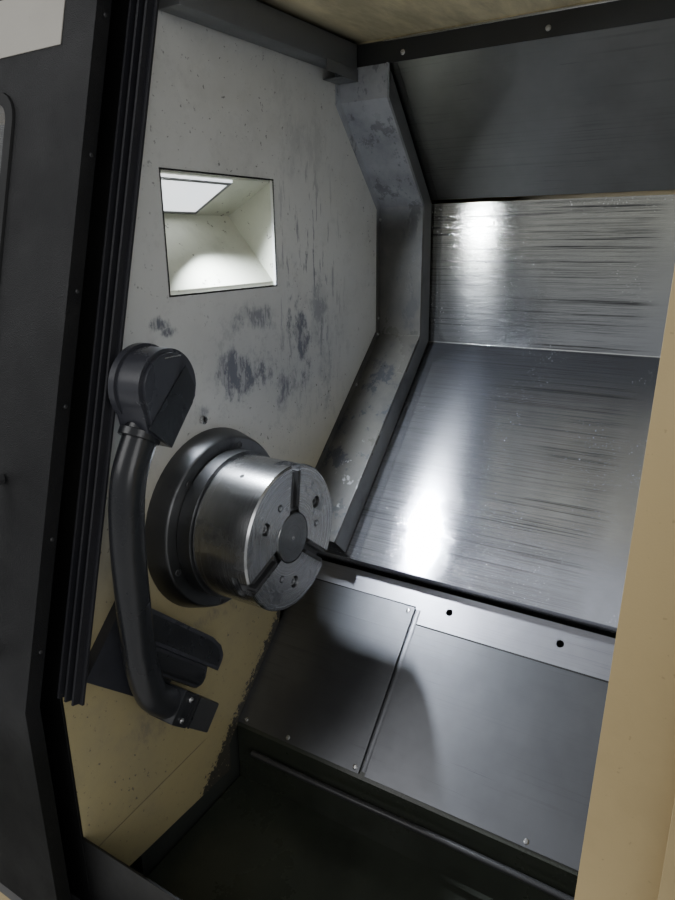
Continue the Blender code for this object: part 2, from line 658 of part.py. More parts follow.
def make_guard():
    top = ROOF - SHEET - GAP
    side = [(front_y(top), top), (front_y(FOLD_Z), FOLD_Z), (front_y(COVER_FOOT), COVER_FOOT),
            (REAR - SHEET, COVER_FOOT), (REAR - SHEET, top)]
    slab("left_side_cover", side, (LEFT_END, LEFT_END + SHEET), "beige paint")
    slab("right_side_cover", side, (RIGHT_END - SHEET, RIGHT_END), "beige paint")
    box("rear_cover", (LEFT_END, REAR - SHEET + GAP, COVER_FOOT), (RIGHT_END, REAR, ROOF - SHEET - GAP), "beige paint")
    roof = [(REAR, ROOF - SHEET), (front_y(ROOF - SHEET, GAP), ROOF - SHEET),
            (front_y(OPENING_TOP, GAP), OPENING_TOP)]
    sheet("roof_cover", roof, SHEET, (LEFT_END, RIGHT_END), "beige paint")
    inner = (LEFT_END + SHEET + GAP, RIGHT_END - SHEET - GAP)
    top = OPENING_TOP - GAP
    sheet("front_left_cover", front_path(top, COVER_FOOT), SHEET, (inner[0], -GAP), "beige paint")
    right = sheet("front_right_cover", front_path(top, COVER_FOOT), SHEET, (OPENING_RIGHT, inner[1]),
                  "beige paint")
    column = sheet("column", front_path(top - 0.002, COVER_FOOT + 0.002, COLUMN_STEP)[::-1],
                   COLUMN_STEP - SHEET / 2, (COLUMN_LEFT, PANEL_X[1] + 0.05), None)
    union(right, column)
    box("front_apron", (GAP, front_y(SILL) - SHEET, APRON_FOOT), (OPENING_RIGHT - GAP, front_y(SILL), SILL),
        "beige paint")


def make_jamb():
    """Labyrinth channel with sealing ribs on the left side of the opening."""
    length = (OPENING_TOP - FOLD_Z) / math.cos(LEAN) - 0.004
    ribs = [(0.0, 0.004)]
    for x in (0.006, 0.022, 0.038):
        ribs += [(x, 0.004), (x, 0.014), (x + 0.004, 0.014), (x + 0.004, 0.004)]
    outline = [(0.0, 0.0), (OPENING_LEFT, 0.0), (OPENING_LEFT, 0.004)] + ribs[::-1][:-1] + [(0.0, 0.004)]
    mesh = outline_mesh([outline], length)
    middle = (OPENING_TOP + FOLD_Z) / 2
    turn = Matrix.Rotation(-LEAN, 3, "X") @ Matrix(((1, 0, 0), (0, -1, 0), (0, 0, -1)))
    add_mesh("jamb_channel", mesh, "black texture", (0, front_y(middle, GAP), middle), turn)


def door_face(z, depth):
    return front_y(z, DOOR_GAP + depth)


def make_door():
    outer = [(door_face(z, DOOR_DEPTH), z) for z in (DOOR_TOP, FOLD_Z, DOOR_BOTTOM)]
    span = (DOOR_LEFT, DOOR_RIGHT)
    door = sheet("door_panel", outer[::-1], DOOR_DEPTH, span, "black texture")
    inner = [(door_face(z, DOOR_DEPTH - DOOR_SHEET), z) for z in (DOOR_TOP - 0.02, FOLD_Z, DOOR_BOTTOM + 0.02)]
    hollow = sheet("door_hollow", inner[::-1], DOOR_DEPTH * 2, (DOOR_LEFT + 0.02, DOOR_RIGHT - 0.004), None)
    cut(door, hollow)
    middle_z, middle_x = (WINDOW_TOP + WINDOW_BOTTOM) / 2, (WINDOW_LEFT + WINDOW_RIGHT) / 2
    half_x, half_z = (WINDOW_RIGHT - WINDOW_LEFT) / 2, (WINDOW_TOP - WINDOW_BOTTOM) / 2 / math.cos(LEAN)

    def window(inset):
        x, z, corner = half_x - inset, half_z - inset, WINDOW_CORNER - inset
        points = arc((x - corner, z - corner), corner, 0, 90, 5) + arc((corner - x, z - corner), corner, 90, 180, 5)
        return points + arc((corner - x, corner - z), corner, 180, 270, 5) + \
            arc((x - corner, corner - z), corner, 270, 360, 5)

    def pane(name, outlines, thickness, depth, kind):
        turn = Matrix.Rotation(-LEAN, 3, "X") @ UPRIGHT
        place = (middle_x, door_face(middle_z, depth), middle_z)
        return add_mesh(name, outline_mesh(outlines, thickness), kind, place, turn)

    cut(door, pane("window_hole", [window(0)], 0.1, DOOR_DEPTH - 0.003, None))
    pane("window_seal", [window(0.0006), window(SEAL_WIDTH)], 0.014, DOOR_DEPTH - 0.003, "rubber")
    pane("door_window", [window(SEAL_WIDTH + 0.0006)], 0.008, DOOR_DEPTH - 0.003, "glass")
    make_handle()
    upper_y = door_face(DOOR_TOP, 0.0) - DOOR_DEPTH / 2
    box("door_rail_upper", (-1.05, upper_y - 0.010, DOOR_TOP + RAIL_CLEARANCE),
        (0.82, front_y(DOOR_TOP + RAIL_CLEARANCE, SHEET + 0.0008), DOOR_TOP + RAIL_HEIGHT), "dark steel")
    low_y = front_y(DOOR_BOTTOM)
    box("door_rail_lower", (-1.05, low_y - DOOR_GAP - DOOR_DEPTH, DOOR_BOTTOM - RAIL_CLEARANCE - RAIL_HEIGHT),
        (COLUMN_LEFT - GAP, low_y - SHEET - GAP, DOOR_BOTTOM - RAIL_CLEARANCE), "dark steel")


def make_handle():
    """Bow handle: a bent tube whose two feet stand on the door skin."""
    curve = bpy.data.curves.new("door_handle", "CURVE")
    curve.dimensions = "3D"
    curve.bevel_depth = 0.0085
    curve.bevel_resolution = 3
    curve.use_fill_caps = True
    foot = HANDLE_TOP - HANDLE_LENGTH
    route = [(HANDLE_TOP, GAP), (HANDLE_TOP, 0.030), (HANDLE_TOP - 0.016, 0.044)]
    route += [(foot + 0.016, 0.044), (foot, 0.030), (foot, GAP)]
    spline = curve.splines.new("POLY")
    spline.points.add(len(route) - 1)
    for point, (z, out) in zip(spline.points, route):
        y = door_face(z, DOOR_DEPTH) - out * math.cos(LEAN) - 0.0022
        point.co = (HANDLE_X, y, z, 1)
    add_mesh("door_handle", curve_mesh(curve), "dark steel")


def arm_tube_mesh(radius, extra):
    """The bent tube of the setting arm, from inside its housing to the face of its head."""
    curve = bpy.data.curves.new("arm_tube", "CURVE")
    curve.dimensions = "3D"
    curve.bevel_depth = radius
    curve.bevel_resolution = 8
    curve.resolution_u = 4
    curve.use_fill_caps = True
    run = Vector((math.cos(HEAD_TURN), math.sin(HEAD_TURN)))
    end = Vector(HEAD_PLACE) - run * (HEAD_SIZE[1] / 2 + GAP * 2)
    start = Vector(ARM_TUBE_START) + Vector((0.7, 0.7)) * extra
    route = [start, *ARM_TUBE_BOW, end - run * 0.022, end]
    spline = curve.splines.new("NURBS")
    spline.points.add(len(route) - 1)
    for point, (tube_y, tube_z) in zip(spline.points, route):
        point.co = (ARM_PLANE_X, tube_y, tube_z, 1)
    spline.use_endpoint_u = True
    spline.order_u = 3
    return curve_mesh(curve)


def make_setting_arm():
    y, z = ARM_PIVOT
    turned("arm_hub", rod_profile((GAP, ARM_HUB_X), ARM_HUB_R), "dark steel", (0, y, z), 40)
    outline = arc((0, 0), ARM_DRUM_R, -5, 205, 28)
    outline += [(-0.045, -0.056), (-0.003, -0.088), (0.052, -0.022)]
    housing = arm_layer("arm_housing", outline, ARM_HOUSING_X, "black texture")
    round_edges(housing, 0.004)
    collar = turned("arm_collar", rod_profile((ARM_HOUSING_X[0], ARM_COLLAR_X), ARM_COLLAR_R), None, (0, y, z), 48)
    union(housing, collar)
    face = arc((0, 0), ARM_DRUM_R - 0.006, 60, 200, 14) + [(-0.040, -0.050), (0.015, 0.004), (0.018, 0.028)]
    union(housing, arm_layer("arm_face_plate", face, (ARM_HOUSING_X[1] - 0.004, ARM_PLATE_X), None))
    add_mesh("arm_tube", arm_tube_mesh(ARM_TUBE_R, 0.0), "black texture")
    cut(housing, add_mesh("tube_socket", arm_tube_mesh(ARM_TUBE_R + GAP * 2, GAP * 2), None))
    head = Vector((ARM_PLANE_X, *HEAD_PLACE))
    size = Vector(HEAD_SIZE)
    block = add_mesh("arm_head", box_mesh(-size / 2, size / 2), "dark steel", head, Matrix.Rotation(HEAD_TURN, 3, "X"))
    round_edges(block, 0.003)
    make_bracket()


def arm_layer(name, outline, x_span, kind):
    """A slab of the arm's housing, with its outline laid out round the pivot."""
    mesh = outline_mesh([outline], x_span[1] - x_span[0])
    return add_mesh(name, mesh, kind, (sum(x_span) / 2, *ARM_PIVOT), ACROSS)


def make_bracket():
    """Bracket on the wall that the arm's head is parked over."""
    along = Vector((math.cos(HEAD_TURN), math.sin(HEAD_TURN)))
    down = Vector((along.y, -along.x))

    def laid_out(outline):
        return [tuple(Vector(BRACKET_CORNER) + along * u + down * v) for u, v in outline]

    bracket = slab("park_bracket", laid_out(BRACKET_CAP), (GAP, BRACKET_X), "black texture")
    round_edges(bracket, 0.004)
    can = slab("bracket_can", laid_out(BRACKET_CAN), (GAP, BRACKET_CAN_X), None)
    round_edges(can, 0.008)
    union(bracket, can)
    union(bracket, slab("bracket_plate", laid_out(BRACKET_PLATE), (GAP, BRACKET_PLATE_X), None))


def make_carriage():
    low, high = SADDLE_S
    under = BED_N + RAIL_TALL + 0.0006
    groove = RAIL_WIDTH / 2 + 0.0006
    belly = under + SADDLE_BELLY
    saddle = slanted_box("saddle", SADDLE_X, SADDLE_S, (belly, SADDLE_TOP_N), "cast iron")
    for index, s in enumerate(RAIL_S):
        truck = slanted_box(f"truck_{index}", (SADDLE_X[0] + 0.006, SADDLE_X[1] - 0.006),
                            (s - TRUCK_HALF, s + TRUCK_HALF), (BED_N + 0.006, belly + 0.01), None)
        union(saddle, truck)
        slot = slanted_box(f"rail_slot_{index}", (SADDLE_X[0] - 0.1, SADDLE_X[1] + 0.1), (s - groove, s + groove),
                           (BED_N - 0.02, under), None)
        cut(saddle, slot)
    for index, x in enumerate(SLIDE_RAIL_X):
        rail = slanted_box(f"slide_rail_{index}", (x - SLIDE_RAIL_WIDTH / 2, x + SLIDE_RAIL_WIDTH / 2),
                           (low + 0.004, high - 0.004), (SADDLE_TOP_N - 0.01, SADDLE_TOP_N + SLIDE_RAIL_TALL), None)
        union(saddle, rail)
    slide = slanted_box("turret_slide", SLIDE_X, SLIDE_S,
                        (SADDLE_TOP_N + 0.0006, SLIDE_TOP_N), "cast iron", 0.004)
    for index, x in enumerate(SLIDE_RAIL_X):
        half = SLIDE_RAIL_WIDTH / 2 + 0.0006
        slot = slanted_box(f"slide_slot_{index}", (x - half, x + half), (SLIDE_S[0] - 0.1, SLIDE_S[1] + 0.1),
                           (SADDLE_TOP_N - 0.05, SADDLE_TOP_N + SLIDE_RAIL_TALL + 0.0006), None)
        cut(slide, slot)
    pedestal = slanted_box("turret_pedestal", (TURRET_HOUSING_X[0] + 0.004, SLIDE_X[1] - 0.004),
                           (TURRET_S - 0.11, TURRET_S + 0.11), (SLIDE_TOP_N - 0.01, -0.05), None)
    union(slide, pedestal)
    centre = slope_place(0, TURRET_S, 0)
    union(slide, turned("turret_drum", rod_profile(TURRET_HOUSING_X, TURRET_HOUSING_R), None, centre, 32))
    make_turret(centre)


def make_turret(centre):
    """Twelve-sided disc with a holder and a tool on every other station."""
    low, high = TURRET_X
    disc = [(high, 0), (high, TURRET_R - 0.02), (high - 0.012, TURRET_R), (low, TURRET_R),
            (low - 0.006, TURRET_R - 0.006), (low - 0.006, 0.05), (low - 0.016, 0.045), (low - 0.016, 0)]
    turret = turned("turret_disc", disc, "ground steel", centre, STATIONS)
    for station in range(0, STATIONS, 2):
        angle = 2 * math.pi * (station + 0.5) / STATIONS
        turn = Matrix.Rotation(angle, 3, "X")
        for part, span, reach, width in (("holder", (low - 0.002, high - 0.03), (TURRET_R - 0.03, TURRET_R + 0.030), 0.06),
                                         ("tool", (low + 0.004, low + 0.026), (TURRET_R, TOOL_REACH_R), 0.022)):
            size = Vector((span[1] - span[0], reach[1] - reach[0], width))
            middle = turn @ Vector((sum(span) / 2, sum(reach) / 2, 0))
            block = add_mesh(f"{part}_{station}", box_mesh(-size / 2, size / 2), None, centre + middle, turn)
            union(turret, block)


def make_tailstock():
    low, high = TAILSTOCK_X
    barrel = [(high, TAILSTOCK_R - 0.02), (low + 0.02, TAILSTOCK_R), (low, TAILSTOCK_R - 0.02)]
    profile = [(high, 0), (high, TAILSTOCK_R - 0.01), (high - 0.01, TAILSTOCK_R)] + barrel[1:] + [(low, 0)]
    body = slanted_box("tailstock_body", (low + 0.01, high - 0.01), TAILSTOCK_LEG_S,
                       (TAIL_WAY_N - 0.02 + 0.0006, -0.03), "cast iron", 0.004)
    union(body, turned("barrel", profile, None, steps=32))
    guide = slanted_box("guide_slot", (low - 0.1, high + 0.1), (-0.1506, -0.1094), (TAIL_WAY_N - 0.1, TAIL_WAY_N + 0.0006),
                        None)
    cut(body, guide)
    cut(body, turned("quill_bore", rod_profile((low - 0.1, high - 0.02), QUILL_R + 0.0006), None, steps=32))
    quill = [(high - 0.03, 0), (high - 0.03, QUILL_R), (QUILL_TIP + 0.045, QUILL_R), (QUILL_TIP + 0.044, 0.020),
             (QUILL_TIP + 0.028, 0.019), (QUILL_TIP, 0)]
    turned("quill", quill, "ground steel", steps=32)


def make_control_panel():
    low, high = PANEL_X
    foot, top = PANEL_Z
    front = PANEL_FRONT
    outline = [(front_y(foot, COLUMN_STEP + GAP), foot), (front_y(top, COLUMN_STEP + GAP), top),
               (front_y(top, COLUMN_STEP + 0.06), top), (front, foot + 0.17), (front, foot)]
    panel = slab("control_panel", outline, PANEL_X, "beige paint")
    button_x, button_z = low + 0.05, foot + 0.06
    place = (button_x, front, button_z)
    cut(panel, turned("button_hole", rod_profile((-0.03, 0.02), STOP_STEM_R + GAP), None, place, 24, UPRIGHT))
    mushroom = [(STOP_BUTTON_REACH, 0), (STOP_BUTTON_REACH - 0.002, STOP_BUTTON_R - 0.004),
                (STOP_BUTTON_REACH - 0.006, STOP_BUTTON_R), (0.006, STOP_BUTTON_R), (0.004, STOP_STEM_R),
                (-0.022, STOP_STEM_R), (-0.022, 0)]
    turned("emergency_stop", mushroom, "red plastic", place, 24, UPRIGHT)


def main():
    global LATHE, CUTTERS
    clear_scene()
    LATHE = make_collection("turning_lathe")
    CUTTERS = make_collection("cutters")
    make_bed()
    make_headstock()
    make_chuck()
    make_walls()
    make_covers()
    make_guard()
    make_jamb()
    make_door()
    make_setting_arm()
    make_carriage()
    make_tailstock()
    make_control_panel()


main()
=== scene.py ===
"""Looks of the slant-bed turning lathe: camera, light, finishes and the small pieces.

Places are written in machine coordinates, as in the part's source: X along the spindle from the
inner face of the spindle-side wall, Y back from the spindle axis, Z up from it. ORIGIN moves them
into the frame. Slopes are given as (s, n): s up and back along the 45 degree bed, n out of it.
"""

import json
from math import atan, cos, pi, radians, sin, sqrt, tan

import bmesh
import bpy
from mathutils import Matrix, Vector


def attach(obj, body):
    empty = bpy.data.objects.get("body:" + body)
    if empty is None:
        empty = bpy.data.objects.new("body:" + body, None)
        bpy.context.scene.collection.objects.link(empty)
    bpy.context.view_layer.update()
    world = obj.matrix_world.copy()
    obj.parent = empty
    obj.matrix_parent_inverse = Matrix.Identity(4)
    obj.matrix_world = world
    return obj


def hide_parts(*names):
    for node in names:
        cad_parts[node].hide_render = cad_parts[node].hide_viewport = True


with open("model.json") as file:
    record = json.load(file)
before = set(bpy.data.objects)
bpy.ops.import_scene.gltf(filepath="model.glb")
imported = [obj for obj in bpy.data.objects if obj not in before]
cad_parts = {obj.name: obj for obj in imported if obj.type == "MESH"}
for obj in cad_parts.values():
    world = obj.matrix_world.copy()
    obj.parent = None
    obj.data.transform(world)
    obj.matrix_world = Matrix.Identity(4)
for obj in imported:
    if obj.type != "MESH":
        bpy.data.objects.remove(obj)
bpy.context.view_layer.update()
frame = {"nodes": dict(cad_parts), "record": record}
NODES = frame["nodes"]
SCENE = bpy.context.scene
BODY_OF = {node: body for body, nodes in frame["record"]["behaviour"]["bodies"].items() for node in nodes}
ORIGIN = Vector((-0.33, -0.261, 1.05))
ROOT_HALF = sqrt(0.5)

# Camera
EYE = (0.8196, -0.8766, 0.485)
CAMERA_RIGHT = (0.8494, 0.5276, -0.0126)
CAMERA_UP = (-0.1435, 0.2540, 0.9565)
CAMERA_BACK = (0.5079, -0.8107, 0.2914)
LENS = 27.68
SENSOR = 36.0

# Studio lamps: name, place, aim, size, watts
STUDIO_LAMPS = (
    ("studio_front", (-2.2, -3.6, 2.4), (-0.4, -0.3, 0.0), (2.6, 2.0), 46),
    ("studio_right", (3.6, -2.6, 1.6), (0.9, -0.3, 0.0), (2.0, 2.0), 34),
    ("studio_rear", (1.0, 3.8, 2.6), (0.3, 0.6, 0.0), (3.0, 2.0), 90),
)
# The lit lamp behind the glass of the pocket in the wall
WORK_LAMP = ((-0.020, 0.025, 0.535), (0.50, 0.22, 0.12), (0.06, 0.022), 8.5, (0.84, 0.91, 1.0), 130)
LAMP_GLASS_GLOW = 1.6
WORLD_LIGHT = 0.46
WORLD_SEEN = 0.95
FLOOR_REACH = 30.0
FLOOR_SEEN = 0.30

RIGHT = Vector((1, 0, 0))
BACK = Vector((0, 1, 0))
UP = Vector((0, 0, 1))

# Planes and places repeated from the part's source
PANEL_N = -0.3486
SLOPE_OUT = Vector((0, -ROOT_HALF, ROOT_HALF))
LEAN = atan(0.274)
FRONT_AT_AXIS = -0.306
FRONT_FOOT_Y = -0.3542
DOOR_FACE_OUT = 0.055
FOLD_Z = -0.16
COVER_FOLD_Z = 0.2430
GUARD_LEFT, GUARD_RIGHT = -1.1001, 1.7601
GUARD_REAR, GUARD_TOP = 1.0001, 0.9001
DOOR_SHEET = 0.0022
LOUVRE_PITCH, LOUVRE_BULGE = 0.028, 0.005
CHUCK_FACE = 0.179
CHUCK_BORE_CIRCLE = 0.083
CHUCK_BORE_DEPTH = 0.0138
CHUCK_BORE_R = 0.0108
CHUCK_BORES = (30, 150, 270)
CHUCK_RIM_R = 0.1268
JAWS = ((1, 82), (2, 202), (3, 322))
FLANGE_FACE = 0.038
HEAD_MIDDLE = Vector((0.078, -0.181, -0.263))
HEAD_TURN = radians(-43)
# The parked bracket's corner, then its directions down and along, as (y, z)
BRACKET_EDGES = ((-0.208, -0.069), (-0.6820, -0.7314), (0.7314, -0.6820))
PANEL_FACE_Y = -0.4580
SHEET_CORNER = 0.498
WALL_FOLD = 0.435

# Paint shared by several finishes: colour, then the dirt on it
BEIGE = (0.52, 0.40, 0.205)
BEIGE_DIRT = (0.32, 0.24, 0.125)
LOW_DOWN_BLACK = (0.004, 0.004, 0.003)
PRIMER = (0.10, 0.09, 0.08)
DOT_PITCH = 0.0025

# Plain enamels: colour, dirt, roughness, then how much dirt and how many chips
PAINTS = {
    "pocket_cream": ((0.50, 0.51, 0.42), (0.14, 0.14, 0.10), 0.38, 0.35, 0.075),
    "beige_enamel": (BEIGE, BEIGE_DIRT, 0.42, 0.25),
    "grimy_steel": ((0.105, 0.108, 0.112), (0.03, 0.03, 0.032), 0.34, 0.9),
    "pitch": ((0.008, 0.008, 0.008), (0.02, 0.02, 0.02), 0.5),
    "arm_black": ((0.017, 0.018, 0.021), (0.034, 0.034, 0.036), 0.26, 0.5),
    "hub_black": ((0.040, 0.041, 0.050), (0.020, 0.020, 0.022), 0.28, 0.8),
    "casting_paint": ((0.14, 0.16, 0.16), (0.05, 0.05, 0.05), 0.5),
    "oiled_iron": ((0.040, 0.044, 0.040), (0.02, 0.02, 0.018), 0.40),
    "blackened_steel": ((0.045, 0.045, 0.047), (0.02, 0.02, 0.02), 0.33),
    "trough_film": ((0.035, 0.040, 0.030), (0.012, 0.014, 0.010), 0.28, 0.8),
    "rubber": ((0.02, 0.02, 0.02), (0.03, 0.03, 0.03), 0.7),
    "bare_metal_plate": ((0.55, 0.52, 0.46), (0.42, 0.39, 0.34), 0.40, 0.3),
    "red_knob": ((0.55, 0.02, 0.015), (0.30, 0.01, 0.01), 0.28, 0.2),
    "key_caps": ((0.30, 0.30, 0.29), (0.14, 0.14, 0.13), 0.45, 0.5),
}

# Edges that are sharper than this, in degrees, stay sharp: on the small pieces and on the solids
PIECE_SMOOTH, SOLID_SMOOTH = 30, 35

# The solids that the scene replaces, by how far it eases their edges
EASED = (
    (0.0, "arm_tube arm_head spindle_side_wall door_handle"),
    (0.0003, "left_way_cover upper_back_panel master_jaw_1 master_jaw_2 master_jaw_3"),
    (0.0004, "chuck_centre_plate frame_strip lip_plate"),
    (0.0005, "quill jamb_channel"),
    (0.0006, "chuck_body arm_housing arm_hub lower_left_panel lower_right_panel front_right_cover "
             "front_left_cover front_apron emergency_stop"),
    (0.0008, "nose_cover chuck_back_plate park_bracket door_panel turret_disc tailstock_body window_seal"),
    (0.001, "turret_slide"),
    (0.002, "control_panel"),
)

# Screws of the edge strip as (y, z), and of the lower panels as (x, s)
STRIP_SCREWS = ((0.546, 0.657), (0.628, 0.527), (0.622, 0.300), (0.619, 0.262), (0.515, 0.155), (0.40, 0.034))
PANEL_SCREWS = ((0.275, 0.0125), (0.277, -0.297), (0.123, -0.297), (0.018, -0.297), (0.018, 0.0125),
                (0.845, -0.297), (0.600, -0.297), (0.845, -0.022))

# Outlines of the pads on the bracket, as (down, along) from its corner
CAP_PAD = ((0.007, 0.010), (0.007, 0.182), (0.013, 0.209), (0.023, 0.223), (0.035, 0.229), (0.043, 0.229),
           (0.043, 0.010))
CAN_PAD = ((0.058, 0.060), (0.058, 0.205), (0.070, 0.212), (0.079, 0.212), (0.085, 0.202), (0.085, 0.060))

# Rubbed and oily places on the spindle-side wall: y, z, reach along each, strength
SMUDGES = [
    (0.115, 0.24, 0.085, 0.065, 1.0), (0.235, 0.20, 0.05, 0.06, 0.7), (0.29, 0.31, 0.05, 0.13, 1.0),
    (0.15, 0.345, 0.10, 0.030, 0.55), (-0.095, 0.36, 0.030, 0.018, 0.9), (-0.075, 0.345, 0.035, 0.012, 0.8),
    (0.36, 0.35, 0.05, 0.10, 0.45), (0.0, 0.20, 0.06, 0.025, 0.5), (-0.06, -0.19, 0.12, 0.035, 0.45),
    (0.40, 0.20, 0.05, 0.12, 0.35), (-0.20, -0.33, 0.07, 0.05, 0.35), (0.30, 0.66, 0.20, 0.12, 0.25),
]


def slope(x, s, n):
    """The point (s, n) of the 45 degree bed at x."""
    return Vector((x, (s - n) * ROOT_HALF, (s + n) * ROOT_HALF))


def front_y(z, out=0.0):
    """Y of the front guard's leaning face at height z, moved out towards the operator."""
    return FRONT_AT_AXIS + tan(LEAN) * max(z, FOLD_Z) - out


# ---------------- camera, light and floor

def make_camera():
    """The camera of the photograph, solved from the long edges of the work area."""
    data = bpy.data.cameras.new("camera")
    data.sensor_fit = "VERTICAL"
    data.sensor_height = SENSOR
    data.lens = LENS
    data.clip_start = 0.02
    camera = bpy.data.objects.new("camera", data)
    turn = Matrix((CAMERA_RIGHT, CAMERA_UP, CAMERA_BACK)).transposed().to_4x4()
    camera.matrix_world = Matrix.Translation(ORIGIN + Vector(EYE)) @ turn
    SCENE.collection.objects.link(camera)
    SCENE.camera = camera


def area_light(name, place, aim, size, power, colour=(1, 1, 1), spread=180):
    """A rectangular lamp at place, facing aim; both in machine coordinates."""
    data = bpy.data.lights.new(name, "AREA")
    data.shape = "RECTANGLE"
    data.size, data.size_y = size
    data.energy = power
    data.color = colour
    data.spread = radians(spread)
    lamp = bpy.data.objects.new(name, data)
    lamp.location = ORIGIN + Vector(place)
    lamp.rotation_euler = (Vector(aim) - Vector(place)).to_track_quat("-Z", "Y").to_euler()
    SCENE.collection.objects.link(lamp)
    return lamp


def make_lights():
    """Soft studio light, and the work lamp that draws the bright streak down the way cover."""
    world = bpy.data.worlds.new("studio")
    SCENE.world = world
    world.use_nodes = True
    tree = world.node_tree
    background = tree.nodes["Background"]
    background.inputs["Color"].default_value = (0.86, 0.88, 0.90, 1)
    path = tree.nodes.new("ShaderNodeLightPath")
    strength = tree.nodes.new("ShaderNodeMapRange")
    strength.inputs["To Min"].default_value = WORLD_LIGHT
    strength.inputs["To Max"].default_value = WORLD_SEEN
    tree.links.new(path.outputs["Is Camera Ray"], strength.inputs["Value"])
    tree.links.new(strength.outputs[0], background.inputs["Strength"])
    for lamp in STUDIO_LAMPS:
        area_light(*lamp)
    area_light("work_lamp", *WORK_LAMP).visible_camera = False


def make_floor():
    """Plain pale floor; only what the camera sees of it is lifted towards white."""
    mesh = bpy.data.meshes.new("floor")
    corners = [(a * FLOOR_REACH, b * FLOOR_REACH, 0) for a, b in ((-1, -1), (1, -1), (1, 1), (-1, 1))]
    mesh.from_pydata(corners, [], [(0, 1, 2, 3)])
    floor = bpy.data.objects.new("floor", mesh)
    SCENE.collection.objects.link(floor)
    mat = Finish("floor_paint", 0.7)
    mat.colour(mat.mix(mat.noise(3, 4), (0.74, 0.74, 0.73), (0.80, 0.80, 0.79)))
    path = mat.add("ShaderNodeLightPath")
    mat.shader.inputs["Emission Color"].default_value = (0.90, 0.90, 0.89, 1)
    seen = mat.times(path.outputs["Is Camera Ray"], FLOOR_SEEN)
    mat.feed(mat.shader.inputs["Emission Strength"], seen)
    mat.dress(floor)


# ---------------- materials

